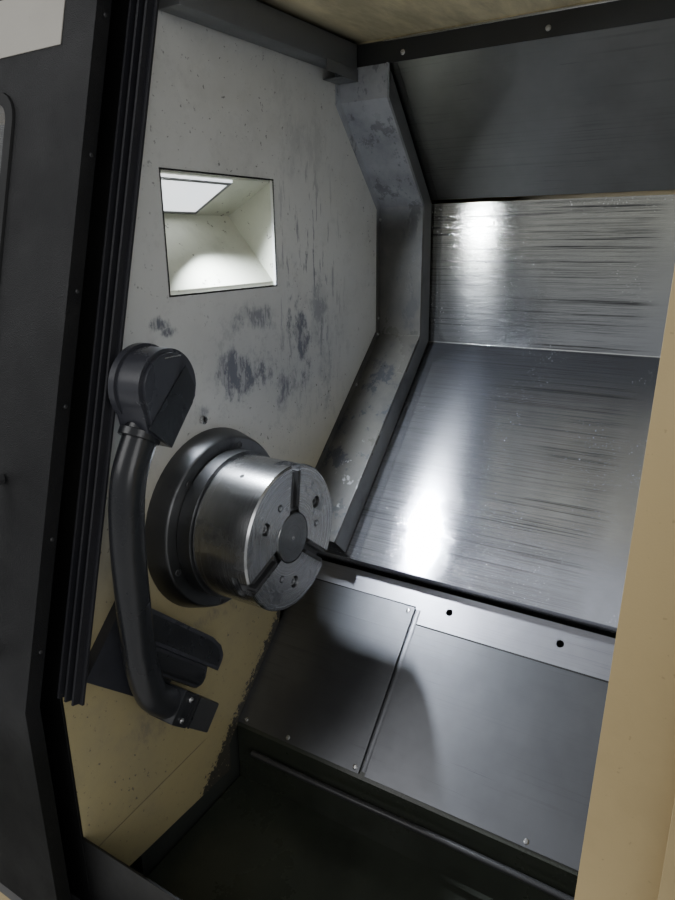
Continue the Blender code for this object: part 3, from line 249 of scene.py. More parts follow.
class Finish:
    """One procedural material. Textures use object coordinates, which are the frame's metres."""

    def __init__(self, name, roughness, metallic=0.0, **constants):
        self.material = bpy.data.materials.new(name)
        self.material.use_nodes = True
        self.tree = self.material.node_tree
        self.shader = self.tree.nodes["Principled BSDF"]
        self.shader.inputs["Roughness"].default_value = roughness
        self.shader.inputs["Metallic"].default_value = metallic
        for socket, value in constants.items():
            self.shader.inputs[socket.replace("_", " ")].default_value = value
        self.place = self.add("ShaderNodeTexCoord").outputs["Object"]

    def add(self, kind, inputs=None, **settings):
        node = self.tree.nodes.new(kind)
        for key, value in settings.items():
            setattr(node, key, value)
        for socket, value in (inputs or {}).items():
            self.feed(node.inputs[socket], value)
        return node

    def feed(self, socket, value):
        if isinstance(value, bpy.types.NodeSocket):
            self.tree.links.new(value, socket)
        elif isinstance(value, tuple) and socket.type == "RGBA":
            socket.default_value = (*value, 1)
        else:
            socket.default_value = value

    def stretched(self, scale, offset=(0, 0, 0)):
        """Object coordinates, scaled by a different amount along each axis and moved."""
        inputs = {"Vector": self.place, "Scale": scale, "Location": offset}
        return self.add("ShaderNodeMapping", inputs).outputs[0]

    def noise(self, scale, detail=5, rough=0.6, stretch=(1, 1, 1), offset=(0, 0, 0)):
        where = self.stretched(stretch, offset)
        inputs = {"Vector": where, "Scale": scale, "Detail": detail, "Roughness": rough}
        return self.add("ShaderNodeTexNoise", inputs).outputs[0]

    def cells(self, scale):
        return self.add("ShaderNodeTexVoronoi", {"Vector": self.place, "Scale": scale}).outputs[0]

    def axis(self, letter):
        """One machine coordinate of the point."""
        parts = self.add("ShaderNodeSeparateXYZ", {0: self.place})
        return self.sum(parts.outputs[letter], -ORIGIN["XYZ".index(letter)])

    def maths(self, operation, a, b=0.0):
        return self.add("ShaderNodeMath", {0: a, 1: b}, operation=operation).outputs[0]

    def sum(self, a, b):
        return self.maths("ADD", a, b)

    def times(self, a, b):
        return self.maths("MULTIPLY", a, b)

    def most(self, a, b):
        return self.maths("MAXIMUM", a, b)

    def ramp(self, value, low, high, out_low=0.0, out_high=1.0):
        """Smooth step from out_low at low to out_high at high."""
        inputs = {"Value": value, "From Min": low, "From Max": high, "To Min": out_low, "To Max": out_high}
        return self.add("ShaderNodeMapRange", inputs, interpolation_type="SMOOTHSTEP").outputs[0]

    def near(self, value, middle, half):
        """1 at middle, falling to 0 at middle +- half."""
        away = self.maths("ABSOLUTE", self.sum(value, -middle))
        return self.ramp(away, half, 0.0)

    def spot(self, centre, reach, ragged=0.0):
        """1 at a point in machine coordinates, falling to 0 at reach (one reach for each axis)."""
        scale = tuple(1 / r for r in reach)
        offset = tuple(-(c + o) / r for c, o, r in zip(centre, ORIGIN, reach))
        where = self.stretched(scale, offset)
        return self.ramp(self.sum(self.length(where), ragged), 1.0, 0.0)

    def mix(self, share, a, b):
        node = self.add("ShaderNodeMix", data_type="RGBA")
        self.feed(node.inputs[0], share)
        self.feed(node.inputs[6], a)
        self.feed(node.inputs[7], b)
        return node.outputs[2]

    def colour(self, value):
        self.feed(self.shader.inputs["Base Color"], value)

    def rough(self, value):
        self.feed(self.shader.inputs["Roughness"], value)

    def grain(self, amount, across):
        """Stretches highlights across the grain; across gives the direction along the surface."""
        self.shader.inputs["Anisotropic"].default_value = amount
        self.feed(self.shader.inputs["Tangent"], across)

    def rubbed(self, amount, low, high):
        """Hair lines and grain of a sheet rubbed along X; returns the roughness between low and high."""
        hair = self.noise(1500, 3, 0.7, stretch=(0.012, 1, 1))
        self.bump(hair, 0.00010, 0.4)
        normal = self.add("ShaderNodeNewGeometry").outputs["Normal"]
        self.grain(amount, self.crossed(normal, tuple(RIGHT)))
        return self.ramp(hair, 0.3, 0.7, low, high)

    def length(self, vector):
        return self.add("ShaderNodeVectorMath", {0: vector}, operation="LENGTH").outputs["Value"]

    def crossed(self, a, b):
        return self.add("ShaderNodeVectorMath", {0: a, 1: b}, operation="CROSS_PRODUCT").outputs[0]

    def bump(self, height, distance, strength=1.0):
        """Adds relief; a second call goes on top of the first."""
        inputs = {"Height": height, "Distance": distance, "Strength": strength}
        node = self.add("ShaderNodeBump", inputs)
        below = self.shader.inputs["Normal"].links
        if below:
            self.feed(node.inputs["Normal"], below[0].from_socket)
        self.feed(self.shader.inputs["Normal"], node.outputs[0])

    def dress(self, item):
        item.data.materials.clear()
        item.data.materials.append(self.material)


def painted(name, colour, dark, roughness=0.42, grime=0.35, chips=0.0):
    """Sprayed enamel: orange peel, cloudy dirt, fine specks and chips down to the primer."""
    mat = Finish(name, roughness)
    cloud = mat.noise(4.5, 6, 0.65)
    dirt = mat.times(mat.ramp(cloud, 0.48, 0.75), grime)
    base = mat.mix(dirt, colour, dark)
    specks = mat.ramp(mat.noise(160, 2, 0.5), 0.70, 0.76)
    base = mat.mix(mat.times(specks, 0.5), base, dark)
    if chips:
        flaked = mat.times(mat.noise(55, 5, 0.7), mat.ramp(mat.noise(5, 3), 0.3, 0.8, 0.8, 1.1))
        flaked = mat.ramp(flaked, 0.66 - chips, 0.68 - chips)
        base = mat.mix(flaked, base, PRIMER)
        mat.bump(flaked, -0.0003, 0.8)
    mat.colour(base)
    mat.rough(mat.ramp(cloud, 0.3, 0.8, roughness - 0.05, roughness + 0.15))
    mat.bump(mat.noise(420, 2, 0.5), 0.00012)
    return mat


def textured_black(name, colour=(0.012, 0.012, 0.013), roughness=0.40):
    """Wrinkle paint: raised grain about a millimetre across, dust lying in it, darker and duller low down."""
    mat = Finish(name, roughness, 0.0, Specular_IOR_Level=0.28)
    grain = mat.cells(620)
    fine = mat.noise(900, 3, 0.6)
    dust = mat.ramp(mat.noise(9, 6, 0.7), 0.45, 0.8)
    # Darker and duller below the fold.
    below_fold = mat.ramp(mat.axis("Z"), FOLD_Z + 0.02, FOLD_Z - 0.12)
    tone = mat.mix(mat.times(dust, 0.5), colour, (0.034, 0.033, 0.033))
    mat.colour(mat.mix(below_fold, tone, LOW_DOWN_BLACK))
    rough = mat.ramp(mat.noise(6, 4), 0.3, 0.7, roughness - 0.07, roughness + 0.12)
    mat.rough(mat.sum(rough, mat.times(below_fold, 0.30)))
    mat.bump(mat.sum(grain, mat.times(fine, 0.4)), 0.0006, 0.8)
    return mat


def brushed(name, colour, roughness, marks=0.5, grain=0.93, metallic=1.0):
    """Sheet metal rubbed along X, with a few deeper scores and a film of oil."""
    mat = Finish(name, roughness, metallic)
    rough = mat.rubbed(grain, roughness - 0.04, roughness + 0.05)
    score = mat.ramp(mat.noise(260, 3, 0.6, stretch=(0.03, 1, 1)), 0.60, 0.72)
    score = mat.times(score, mat.ramp(mat.noise(5, 3, 0.5), 0.45, 0.65))
    film = mat.noise(3.2, 5, 0.6)
    lines = mat.ramp(mat.noise(230, 4, 0.7, stretch=(0.006, 1, 1), offset=(2, 3, 5)), 0.54, 0.66)
    lines = mat.times(lines, mat.ramp(mat.noise(2.4, 3, 0.6, stretch=(0.6, 1, 1)), 0.40, 0.60))
    score = mat.most(score, mat.times(lines, 0.8))
    tint = mat.mix(mat.ramp(film, 0.35, 0.7), colour, tuple(c * 0.72 for c in colour))
    mat.colour(mat.mix(mat.times(score, marks), tint, (0.06, 0.06, 0.06)))
    mat.rough(mat.sum(rough, mat.times(mat.ramp(film, 0.4, 0.75), 0.07)))
    mat.bump(score, 0.0003, 0.35)
    return mat


def scored_cover(name):
    """The big bent way cover: rubbed dark in long lines, painted light brighter at its foot, painted
    highlight on the bend, dried splashes.
    """
    mat = Finish(name, 0.16, 0.9)
    height = mat.axis("Z")
    rough = mat.rubbed(0.93, 0.10, 0.16)
    fine = mat.ramp(mat.noise(430, 4, 0.75, stretch=(0.010, 1, 1)), 0.46, 0.64)
    deep = mat.ramp(mat.noise(170, 5, 0.8, stretch=(0.007, 1, 1)), 0.535, 0.60)
    grouped = mat.ramp(mat.noise(6, 3, 0.5, stretch=(0.35, 1, 1), offset=(1, 4, 2)), 0.40, 0.54)
    upright = mat.ramp(height, COVER_FOLD_Z - 0.001, COVER_FOLD_Z + 0.001)
    rubbed = mat.ramp(mat.sum(mat.axis("X"), mat.times(mat.noise(9, 4), 0.05)), 0.66, 0.58)
    scored = mat.most(mat.times(fine, 0.50), mat.times(mat.times(deep, grouped), 0.95))
    scored = mat.times(mat.times(scored, rubbed), mat.ramp(upright, 0, 1, 0.68, 1.0))
    # Painted light: the slope lightens towards its foot, the upright part lightens and yellows towards its
    # top.
    foot = mat.ramp(height, COVER_FOLD_Z, -0.06)
    tall = mat.ramp(height, COVER_FOLD_Z, 0.52)
    slope_painted_light = mat.mix(foot, (0.25, 0.26, 0.30), (0.78, 0.80, 0.88))
    upright_painted_light = mat.mix(tall, (0.36, 0.37, 0.385), (0.48, 0.475, 0.415))
    tone = mat.mix(upright, slope_painted_light, upright_painted_light)
    tone = mat.mix(mat.ramp(mat.noise(3.2, 5, 0.6), 0.35, 0.7, 0.0, 0.4), tone, (0.25, 0.255, 0.265))
    tone = mat.mix(scored, tone, (0.055, 0.055, 0.058))
    splashed = mat.ramp(mat.noise(7, 3, 0.5, offset=(2, 2, 5)), 0.46, 0.60)
    specks = mat.times(mat.ramp(mat.noise(330, 3, 0.6), 0.665, 0.70), splashed)
    tone = mat.mix(mat.times(specks, 0.8), tone, (0.85, 0.86, 0.88))
    # Painted highlight: a bright thin line along the bend.
    bend_highlight = mat.near(height, COVER_FOLD_Z + 0.0006, 0.0022)
    tone = mat.mix(mat.times(bend_highlight, 0.8), tone, (0.88, 0.88, 0.86))
    mat.colour(tone)
    rough = mat.sum(rough, mat.times(scored, 0.06))
    mat.rough(mat.sum(rough, mat.times(specks, 0.35)))
    mat.bump(scored, -0.00005, 0.3)
    mat.bump(specks, 0.0003, 0.5)
    return mat


def turned_steel(name, colour, roughness, grain=0.6):
    """Steel turned round the spindle's axis: fine rings and a few stains."""
    mat = Finish(name, roughness, 1.0)
    inputs = {"Vector": mat.place, "Location": (0, -ORIGIN.y, -ORIGIN.z), "Scale": (0, 1, 1)}
    radial = mat.add("ShaderNodeMapping", inputs).outputs[0]
    radius = mat.length(radial)
    normal = mat.add("ShaderNodeNewGeometry").outputs["Normal"]
    facing = mat.maths("ABSOLUTE", mat.add("ShaderNodeSeparateXYZ", {0: normal}).outputs["X"])
    end_face = mat.maths("GREATER_THAN", facing, 0.6)
    inputs = {0: mat.axis("X"), 1: mat.times(radius, end_face)}
    where = mat.add("ShaderNodeCombineXYZ", inputs).outputs[0]
    rings = mat.add("ShaderNodeTexNoise", {"Vector": where, "Scale": 2600.0, "Detail": 2.0}).outputs[0]
    film = mat.noise(14, 5, 0.65)
    stains = mat.ramp(film, 0.55, 0.75)
    mat.colour(mat.mix(stains, colour, tuple(c * 0.55 for c in colour)))
    rough = mat.ramp(rings, 0.3, 0.7, roughness - 0.03, roughness + 0.03)
    mat.rough(mat.sum(rough, mat.times(stains, 0.10)))
    mat.bump(rings, 0.00001, 0.2)
    around = mat.crossed(tuple(RIGHT), radial)
    mat.grain(grain, mat.crossed(normal, around))
    return mat


def stained_wall(name):
    """Cream enamel with rubbed dark smudges, runs below the lamp and chips along its foot."""
    mat = Finish(name, 0.40)
    height = mat.axis("Z")
    cloud = mat.noise(3.5, 6, 0.62)
    cream = mat.mix(mat.ramp(height, -0.15, 0.25), (0.41, 0.345, 0.185), (0.56, 0.56, 0.54))
    base = mat.mix(mat.times(mat.ramp(cloud, 0.45, 0.8), 0.35), cream, (0.20, 0.19, 0.16))
    ragged = mat.ramp(mat.noise(13, 6, 0.7, stretch=(1, 1, 0.7)), 0.3, 0.7, -0.55, 0.75)
    smudges = 0.0
    for y, z, reach_y, reach_z, strength in SMUDGES:
        blot = mat.times(mat.spot((0, y, z), (0.2, reach_y, reach_z), ragged), strength)
        smudges = mat.most(blot, smudges)
    broken = mat.ramp(mat.noise(40, 6, 0.78, stretch=(1, 1, 0.5)), 0.42, 0.52)
    streaks = mat.ramp(mat.noise(110, 6, 0.7, stretch=(1, 1, 0.12)), 0.52, 0.60)
    marks = mat.most(mat.times(broken, 0.9), mat.most(mat.times(streaks, 0.9), 0.35))
    rubbed = mat.times(mat.ramp(smudges, 0.0, 0.8), marks)
    dashes = mat.ramp(mat.noise(75, 5, 0.65, stretch=(1, 1, 0.16), offset=(1, 7, 3)), 0.565, 0.62)
    dashes = mat.times(dashes, mat.spot((0, 0.33, 0.40), (0.3, 0.19, 0.38)))
    rubbed = mat.most(rubbed, mat.times(dashes, 0.85))
    handled = mat.spot((0, 0.24, 0.22), (0.4, 0.42, 0.26), mat.ramp(cloud, 0.3, 0.7, -0.2, 0.2))
    base = mat.mix(mat.times(handled, 0.52), base, (0.19, 0.195, 0.205))
    film = mat.ramp(mat.noise(26, 5, 0.8, offset=(5, 3, 8)), 0.50, 0.66)
    film = mat.times(film, mat.most(handled, 0.25))
    base = mat.mix(mat.times(film, 0.40), base, (0.14, 0.14, 0.15))
    base = mat.mix(rubbed, base, (0.085, 0.09, 0.12))
    specks = mat.times(mat.ramp(mat.noise(120, 3, 0.6), 0.66, 0.70), mat.ramp(cloud, 0.35, 0.6))
    base = mat.mix(mat.times(specks, 0.8), base, (0.07, 0.07, 0.07))
    edge = mat.sum(mat.sum(height, mat.times(mat.axis("Y"), -1.0)), SHEET_CORNER)
    foot = mat.ramp(edge, 0.075, 0.0, 0.0, 0.36)
    flaked = mat.ramp(mat.sum(foot, mat.noise(105, 5, 0.8)), 0.72, 0.75)
    flaked = mat.most(flaked, mat.ramp(mat.noise(30, 5, 0.7, offset=(3, 1, 2)), 0.735, 0.745))
    base = mat.mix(flaked, base, (0.06, 0.055, 0.045))
    fold = mat.sum(mat.times(mat.axis("Y"), -0.10), mat.sum(height, WALL_FOLD))
    # Painted shade: a dark line along the wall's fold, with a groove in the relief.
    crease_shade = mat.times(mat.near(fold, 0.0, 0.0022), mat.ramp(mat.axis("Y"), -0.05, -0.09))
    base = mat.mix(mat.times(crease_shade, 0.6), base, (0.10, 0.08, 0.05))
    mat.colour(base)
    mat.rough(mat.sum(mat.ramp(cloud, 0.3, 0.8, 0.34, 0.50), mat.times(rubbed, 0.15)))
    mat.bump(crease_shade, -0.0008)
    mat.bump(flaked, -0.0004, 0.8)
    mat.bump(mat.noise(400, 2, 0.5), 0.00012)
    return mat


def grimy_shaded_ceiling(name):
    """Beige overhead sheet, darkened near the wall by the beam's painted shadow, with its folded-down header
    in bare dark steel.
    """
    mat = Finish(name, 0.42)
    grime = mat.noise(6, 6, 0.7, stretch=(1, 0.25, 1))
    beige = mat.mix(mat.ramp(grime, 0.35, 0.65), (0.84, 0.73, 0.46), (0.38, 0.33, 0.20))
    # Painted shadow: the beam's shadow darkens the sheet next to the wall.
    painted_beam_shadow = mat.ramp(mat.sum(mat.axis("X"), mat.times(grime, 0.12)), 0.15, 0.09)
    base = mat.mix(painted_beam_shadow, beige, (0.022, 0.022, 0.021))
    low = mat.ramp(mat.axis("Z"), 0.8535, 0.8515)
    base = mat.mix(low, base, (0.025, 0.026, 0.027))
    mat.colour(base)
    mat.rough(mat.ramp(grime, 0.3, 0.8, 0.30, 0.55))
    mat.bump(mat.noise(300, 3, 0.6), 0.0002)
    return mat


def worn_strip_with_painted_light(name):
    """Folded edge strip: pale blue grey with dark blots at its top, darker and scraped lower down; the pale
    top is painted light.
    """
    mat = Finish(name, 0.36)
    height = mat.axis("Z")
    cloud = mat.noise(7, 6, 0.65)
    dark = mat.mix(mat.ramp(cloud, 0.35, 0.7), (0.09, 0.087, 0.078), (0.05, 0.05, 0.049))
    pale = mat.mix(mat.ramp(cloud, 0.35, 0.7), (0.40, 0.415, 0.45), (0.23, 0.24, 0.27))
    # Painted light: the tone runs from dark low down to pale at the top.
    base = mat.mix(mat.ramp(height, 0.50, 0.58), dark, pale)
    blots = mat.ramp(mat.noise(22, 6, 0.75, stretch=(1, 1, 0.5)), 0.54, 0.60)
    blotted = mat.times(blots, mat.ramp(height, 0.25, 0.15, 0.45, 1.0))
    base = mat.mix(blotted, base, (0.03, 0.032, 0.04))
    worn = mat.ramp(mat.noise(14, 6, 0.7, offset=(4, 2, 1)), 0.60, 0.63)
    base = mat.mix(mat.times(worn, mat.ramp(height, 0.12, 0.0)), base, (0.30, 0.30, 0.31))
    mat.colour(base)
    mat.rough(mat.ramp(cloud, 0.3, 0.8, 0.26, 0.46))
    mat.bump(blots, -0.0003, 0.7)
    mat.bump(mat.noise(350, 2, 0.5), 0.00015)
    return mat


def dotted_film(name):
    """Black film with a grid of clear dots two and a half millimetres apart."""
    mat = Finish(name, 0.35)
    a, b = (mat.sum(mat.maths("FRACT", mat.times(mat.axis(letter), 1 / DOT_PITCH)), -0.5)
            for letter in "XZ")
    away = mat.maths("SQRT", mat.sum(mat.times(a, a), mat.times(b, b)))
    worn = mat.ramp(mat.noise(30, 3), 0.3, 0.7, 0.85, 1.0)
    dots = mat.times(mat.ramp(away, 0.34, 0.28), worn)
    mat.colour(mat.mix(dots, (0.02, 0.02, 0.02), (0.30, 0.30, 0.29)))
    return mat


def edged_beige(name, letter, start, end, lowest=-2.0):
    """Beige enamel that turns to black rubbing strip past a line across one axis, down to lowest."""
    mat = painted(name, BEIGE, BEIGE_DIRT, 0.42, 0.25)
    beige = mat.shader.inputs["Base Color"].links[0].from_socket
    past = mat.ramp(mat.axis(letter), start, end)
    share = mat.times(past, mat.ramp(mat.axis("Z"), lowest - 0.002, lowest))
    mat.colour(mat.mix(share, beige, (0.004, 0.004, 0.004)))
    return mat


# ---------------- shapes

class Shape:
    """Collects closed solids in machine coordinates and makes one piece of them."""

    def __init__(self):
        self.mesh = bmesh.new()

    def skin(self, rings):
        """Closed solid over rings of points, capped at both ends."""
        rows = [[self.mesh.verts.new(ORIGIN + Vector(p)) for p in ring] for ring in rings]
        count = len(rows[0])
        for low, high in zip(rows, rows[1:]):
            for i in range(count):
                j = (i + 1) % count
                self.mesh.faces.new((low[i], low[j], high[j], high[i]))
        self.mesh.faces.new(rows[0][::-1])
        self.mesh.faces.new(rows[-1])
        return self

    def turned(self, place, axis, profile, steps=24):
        """Profile of (distance along the axis, radius); a radius of ("hex", r) is a hexagon."""
        frame_turn = Vector(axis).to_track_quat("Z", "Y").to_matrix()
        rings = []
        for along, radius in profile:
            ring = []
            for step in range(steps):
                angle = 2 * pi * step / steps
                reach = radius
                if isinstance(radius, tuple):
                    reach = radius[1] / cos((angle % (pi / 3)) - pi / 6)
                flat = Vector((cos(angle) * reach, sin(angle) * reach, along))
                ring.append(Vector(place) + frame_turn @ flat)
            rings.append(ring)
        return self.skin(rings)

    def screw(self, place, axis, radius, head, sunk=0.0):
        """Cap screw with a hexagon socket; place is the surface that it stands on."""
        base = Vector(place) - Vector(axis).normalized() * sunk
        hexagon = ("hex", radius * 0.50)
        profile = [(0, radius), (head * 0.82, radius), (head, radius * 0.88), (head, hexagon),
                   (head * 0.35, hexagon)]
        return self.turned(base, axis, profile)

    def button(self, place, axis, radius, height):
        """Low domed head with a socket."""
        hexagon = ("hex", radius * 0.42)
        profile = [(0, radius), (height * 0.45, radius * 0.94), (height * 0.85, radius * 0.70),
                   (height, radius * 0.52), (height, hexagon), (height * 0.3, hexagon)]
        return self.turned(place, axis, profile)

    def block(self, low, high, bevel, turn=None, centre=None):
        """Box with rounded edges; turn goes round its middle, or round centre."""
        low, high = Vector(low), Vector(high)
        box = bmesh.new()
        bmesh.ops.create_cube(box, size=1.0)
        size = high - low
        for vert in box.verts:
            vert.co = Vector(a * b for a, b in zip(vert.co, size))
        bmesh.ops.bevel(box, geom=box.edges[:], offset=bevel, segments=2, affect="EDGES", profile=0.5)
        middle = (low + high) / 2 if centre is None else Vector(centre)
        for vert in box.verts:
            vert.co = ORIGIN + middle + (turn @ vert.co if turn else vert.co)
        part = bpy.data.meshes.new("part")
        box.to_mesh(part)
        self.mesh.from_mesh(part)
        bpy.data.meshes.remove(part)
        return self

    def plate(self, corner, across, up, size, thick, bevel):
        """Flat piece with rounded edges, standing thick out of the face that across and up span."""
        out = across.cross(up)
        half = Vector((*size, thick)) / 2
        middle = Vector(corner) + across * half.x + up * half.y + out * half.z
        return self.block(-half, half, bevel, Matrix((across, up, out)).transposed(), middle)

    def louvres(self, corner, across, up, width, rows):
        """Pressed slots, each a low wedge that opens downwards."""
        rise, bulge = up * LOUVRE_PITCH, across.cross(up) * LOUVRE_BULGE
        for row in range(rows):
            foot = corner + rise * row
            ring = [foot, foot + rise * 0.62, foot + rise * 0.12 + bulge, foot + bulge * 0.8]
            self.skin([[point + across * reach for point in ring] for reach in (0.0, width)])
        return self

    def prism(self, outline, depth, place, across, up):
        """Outline of (a, b) laid out from place along across and up, made depth thick."""
        out = across.cross(up)
        ring = [place + across * a + up * b for a, b in outline]
        return self.skin([ring, [p + out * depth for p in ring]])

    def tube(self, points, radius, steps):
        """Round bar along a run of points."""
        points = [Vector(p) for p in points]
        rings = []
        side = None
        for index, point in enumerate(points):
            before = points[max(index - 1, 0)]
            after = points[min(index + 1, len(points) - 1)]
            run = (after - before).normalized()
            if side is None:
                side = run.orthogonal().normalized()
            side = (side - run * side.dot(run)).normalized()
            other = run.cross(side)
            turns = [2 * pi * k / steps for k in range(steps)]
            rings.append([point + (side * cos(a) + other * sin(a)) * radius for a in turns])
        return self.skin(rings)

    def rim(self, corners, width, height, out):
        """Flat trim that follows a closed run of corners, width outwards and height along out."""
        out = Vector(out).normalized()
        corners = [Vector(c) for c in corners]
        wide = []
        for before, here, after in zip(corners[-1:] + corners[:-1], corners, corners[1:] + corners[:1]):
            a = (here - before).normalized().cross(out)
            b = (after - here).normalized().cross(out)
            wide.append(here + (a + b) * (width / (1 + a.dot(b))))
        count = len(corners)
        for i in range(count):
            j = (i + 1) % count
            ring = [corners[i], corners[j], wide[j], wide[i]]
            self.skin([ring, [p + out * height for p in ring]])
        return self

    def piece(self, name, finish, node):
        """Makes the object; it rides with the body of a CAD node."""
        bmesh.ops.recalc_face_normals(self.mesh, faces=self.mesh.faces[:])
        add_piece(name, self.mesh, finish, node, PIECE_SMOOTH)


def add_piece(name, shape, finish, node, smooth):
    """Makes an object of the shape, shaded smooth over edges below smooth degrees."""
    limit = radians(smooth)
    for face in shape.faces:
        face.smooth = True
    for edge in shape.edges:
        edge.smooth = len(edge.link_faces) == 2 and edge.calc_face_angle(0) < limit
    mesh = bpy.data.meshes.new(name)
    shape.to_mesh(mesh)
    shape.free()
    item = bpy.data.objects.new(name, mesh)
    SCENE.collection.objects.link(item)
    finish.dress(item)
    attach(item, BODY_OF[node])
    return item


def refined(node, finish, bevel):
    """The CAD solid again, with eased edges and smooth curves, in place of the plain one."""
    shape = bmesh.new()
    shape.from_mesh(NODES[node].data)
    bmesh.ops.remove_doubles(shape, verts=shape.verts[:], dist=2e-6)
    bmesh.ops.dissolve_limit(shape, angle_limit=radians(0.6), verts=shape.verts[:], edges=shape.edges[:])
    limit = radians(SOLID_SMOOTH)
    if bevel:
        sharp = [e for e in shape.edges if len(e.link_faces) == 2 and e.calc_face_angle(0) > limit]
        bmesh.ops.bevel(shape, geom=sharp, offset=bevel, segments=2, affect="EDGES", profile=0.5,
                        clamp_overlap=True)
    item = add_piece(node + "_dressed", shape, finish, node, SOLID_SMOOTH)
    modifier = item.modifiers.new("even", "WEIGHTED_NORMAL")
    modifier.keep_sharp = True
    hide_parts(node)
    return item


# ---------------- the small pieces

def on_slope(shape, x, s, n):
    """Box laid on the 45 degree slope, given as spans along x, up the slope and out of it."""
    low, high = Vector((x[0], s[0], n[0])), Vector((x[1], s[1], n[1]))
    middle = slope((x[0] + x[1]) / 2, (s[0] + s[1]) / 2, (n[0] + n[1]) / 2)
    return shape.block(low, high, 0.0002, Matrix.Rotation(radians(45), 3, "X"), middle)


def polar(x, radius, degrees):
    """The point at x, radius from the spindle axis, degrees up from the back."""
    angle = radians(degrees)
    return (x, radius * cos(angle), radius * sin(angle))


def make_chuck_details(steel, pitch, bright, dark):
    """Screws of the chuck's face and bores, black discs of painted shade round them, the centre plug, a
    painted-shade disc for the rim hole, and the serrations of the jaws.
    """
    # Painted shade: the black discs round the screws stand in for the shade in their counterbores.
    rings, screws = Shape(), Shape()
    for radius, degrees in ((0.072, 117), (0.071, 1), (0.072, 240)):
        place = polar(CHUCK_FACE, radius, degrees)
        rings.turned(place, RIGHT, [(-0.001, 0.0062), (0.0003, 0.0062)], 32)
        screws.screw(place, RIGHT, 0.0045, 0.0010)
    for degrees in CHUCK_BORES:
        place = polar(CHUCK_FACE - CHUCK_BORE_DEPTH, CHUCK_BORE_CIRCLE, degrees)
        screws.screw(place, RIGHT, 0.0080, 0.0092)
        rings.turned(place, RIGHT, [(-0.0004, CHUCK_BORE_R), (0.0006, CHUCK_BORE_R)], 32)
    rings.piece("chuck_counterbore_shade", pitch, "chuck_body")
    screws.piece("chuck_screws", steel, "chuck_body")
    profile = [(0, 0.0036), (0.0012, 0.0030), (0.0014, 0.0018)]
    plug = Shape().turned((CHUCK_FACE, 0, 0), RIGHT, profile, 20)
    plug.piece("centre_plug", bright, "chuck_centre_plate")
    out = Vector((0, -sin(radians(24)), cos(radians(24))))
    rim = Vector((0.118, 0, 0)) + out * CHUCK_RIM_R
    # Painted shade: a black disc on the rim stands in for the shade of a hole.
    hole = Shape().turned(rim, out, [(-0.001, 0.0042), (0.0004, 0.0042)], 24)
    hole.piece("chuck_rim_hole_shade", pitch, "chuck_body")
    for jaw, degrees in JAWS:
        teeth = Shape()
        turn = Matrix.Rotation(radians(degrees), 3, "X")
        for step in range(20):
            for side in (-0.0089, 0.0089):
                middle = turn @ Vector((CHUCK_FACE - 0.0004, 0.0565 + 0.0030 * step, side))
                teeth.block((-0.0004, -0.0008, -0.0033), (0.0004, 0.0008, 0.0033), 0.0003, turn, middle)
        teeth.piece(f"jaw_{jaw}_serrations", dark, f"master_jaw_{jaw}")


def make_flange_details(dark, bright):
    """Screws of the flange behind the chuck, and the single bolt in the wall over it."""
    screws = Shape()
    for radius, degrees in ((0.140, 73), (0.137, 133), (0.141, 198), (0.147, 257), (0.142, 317), (0.142, 13)):
        screws.screw(polar(FLANGE_FACE, radius, degrees), RIGHT, 0.0065, 0.006, sunk=0.0045)
    screws.piece("flange_screws", dark, "nose_cover")
    bolt = Shape().screw((0.0, -0.011, 0.187), RIGHT, 0.0075, 0.007)
    bolt.piece("wall_bolt", bright, "spindle_side_wall")


def make_wall_details(bright, grime):
    """Trim of the lamp's pocket, screws and return of the edge strip, beam and ledge of the corner."""
    y_low, y_high, z_low, z_high = -0.0632, 0.2172, 0.4028, 0.5892
    pocket = [(0, y_low, z_low), (0, y_high, z_low), (0, y_high, z_high), (0, y_low, z_high)]
    trim = Shape().rim(pocket, 0.0028, 0.0012, RIGHT)
    trim.piece("lamp_rim", bright, "spindle_side_wall")
    low, high = Vector((-0.0930, 0, 0.5340)), Vector((-0.0140, 0, 0.5762))
    near, far = BACK * -0.062, BACK * 0.109
    glass = [low + near, high + near, high + far, low + far]
    border = Shape().rim(glass, 0.0055, 0.0030, (high - low).cross(BACK))
    border.piece("lamp_frame", grime, "lamp_recess")
    screws = Shape()
    for y, z in STRIP_SCREWS:
        screws.button((0.0033, y, z), RIGHT, 0.0042, 0.0022)
    screws.piece("strip_screws", bright, "frame_strip")
    back = Shape()
    near = [(0.459, 0.752), (0.634, 0.556), (0.632, 0.261), (0.449, 0.083), (0.240, -0.120)]
    far = [(0.466, 0.800), (0.672, 0.562), (0.674, 0.246), (0.4824, 0.0496), (0.2764, -0.1563)]
    for outline in zip(near, near[1:], far[1:], far):
        back.skin([[(x, y, z) for y, z in outline] for x in (0.1112, 0.1137)])
    back.piece("strip_return", grime, "frame_strip")
    beam = Shape().block((0.0006, -0.045, 0.804), (0.046, 0.4525, 0.8522), 0.003)
    beam.piece("wall_beam", grime, "spindle_side_wall")
    ledge = Shape().block((0.0470, 0.335, 0.786), (0.0485, 0.450, 0.806), 0.0004)
    ledge.block((0.0006, 0.395, 0.7845), (0.0485, 0.450, 0.7862), 0.0004)
    ledge.piece("wall_ledge", grime, "spindle_side_wall")


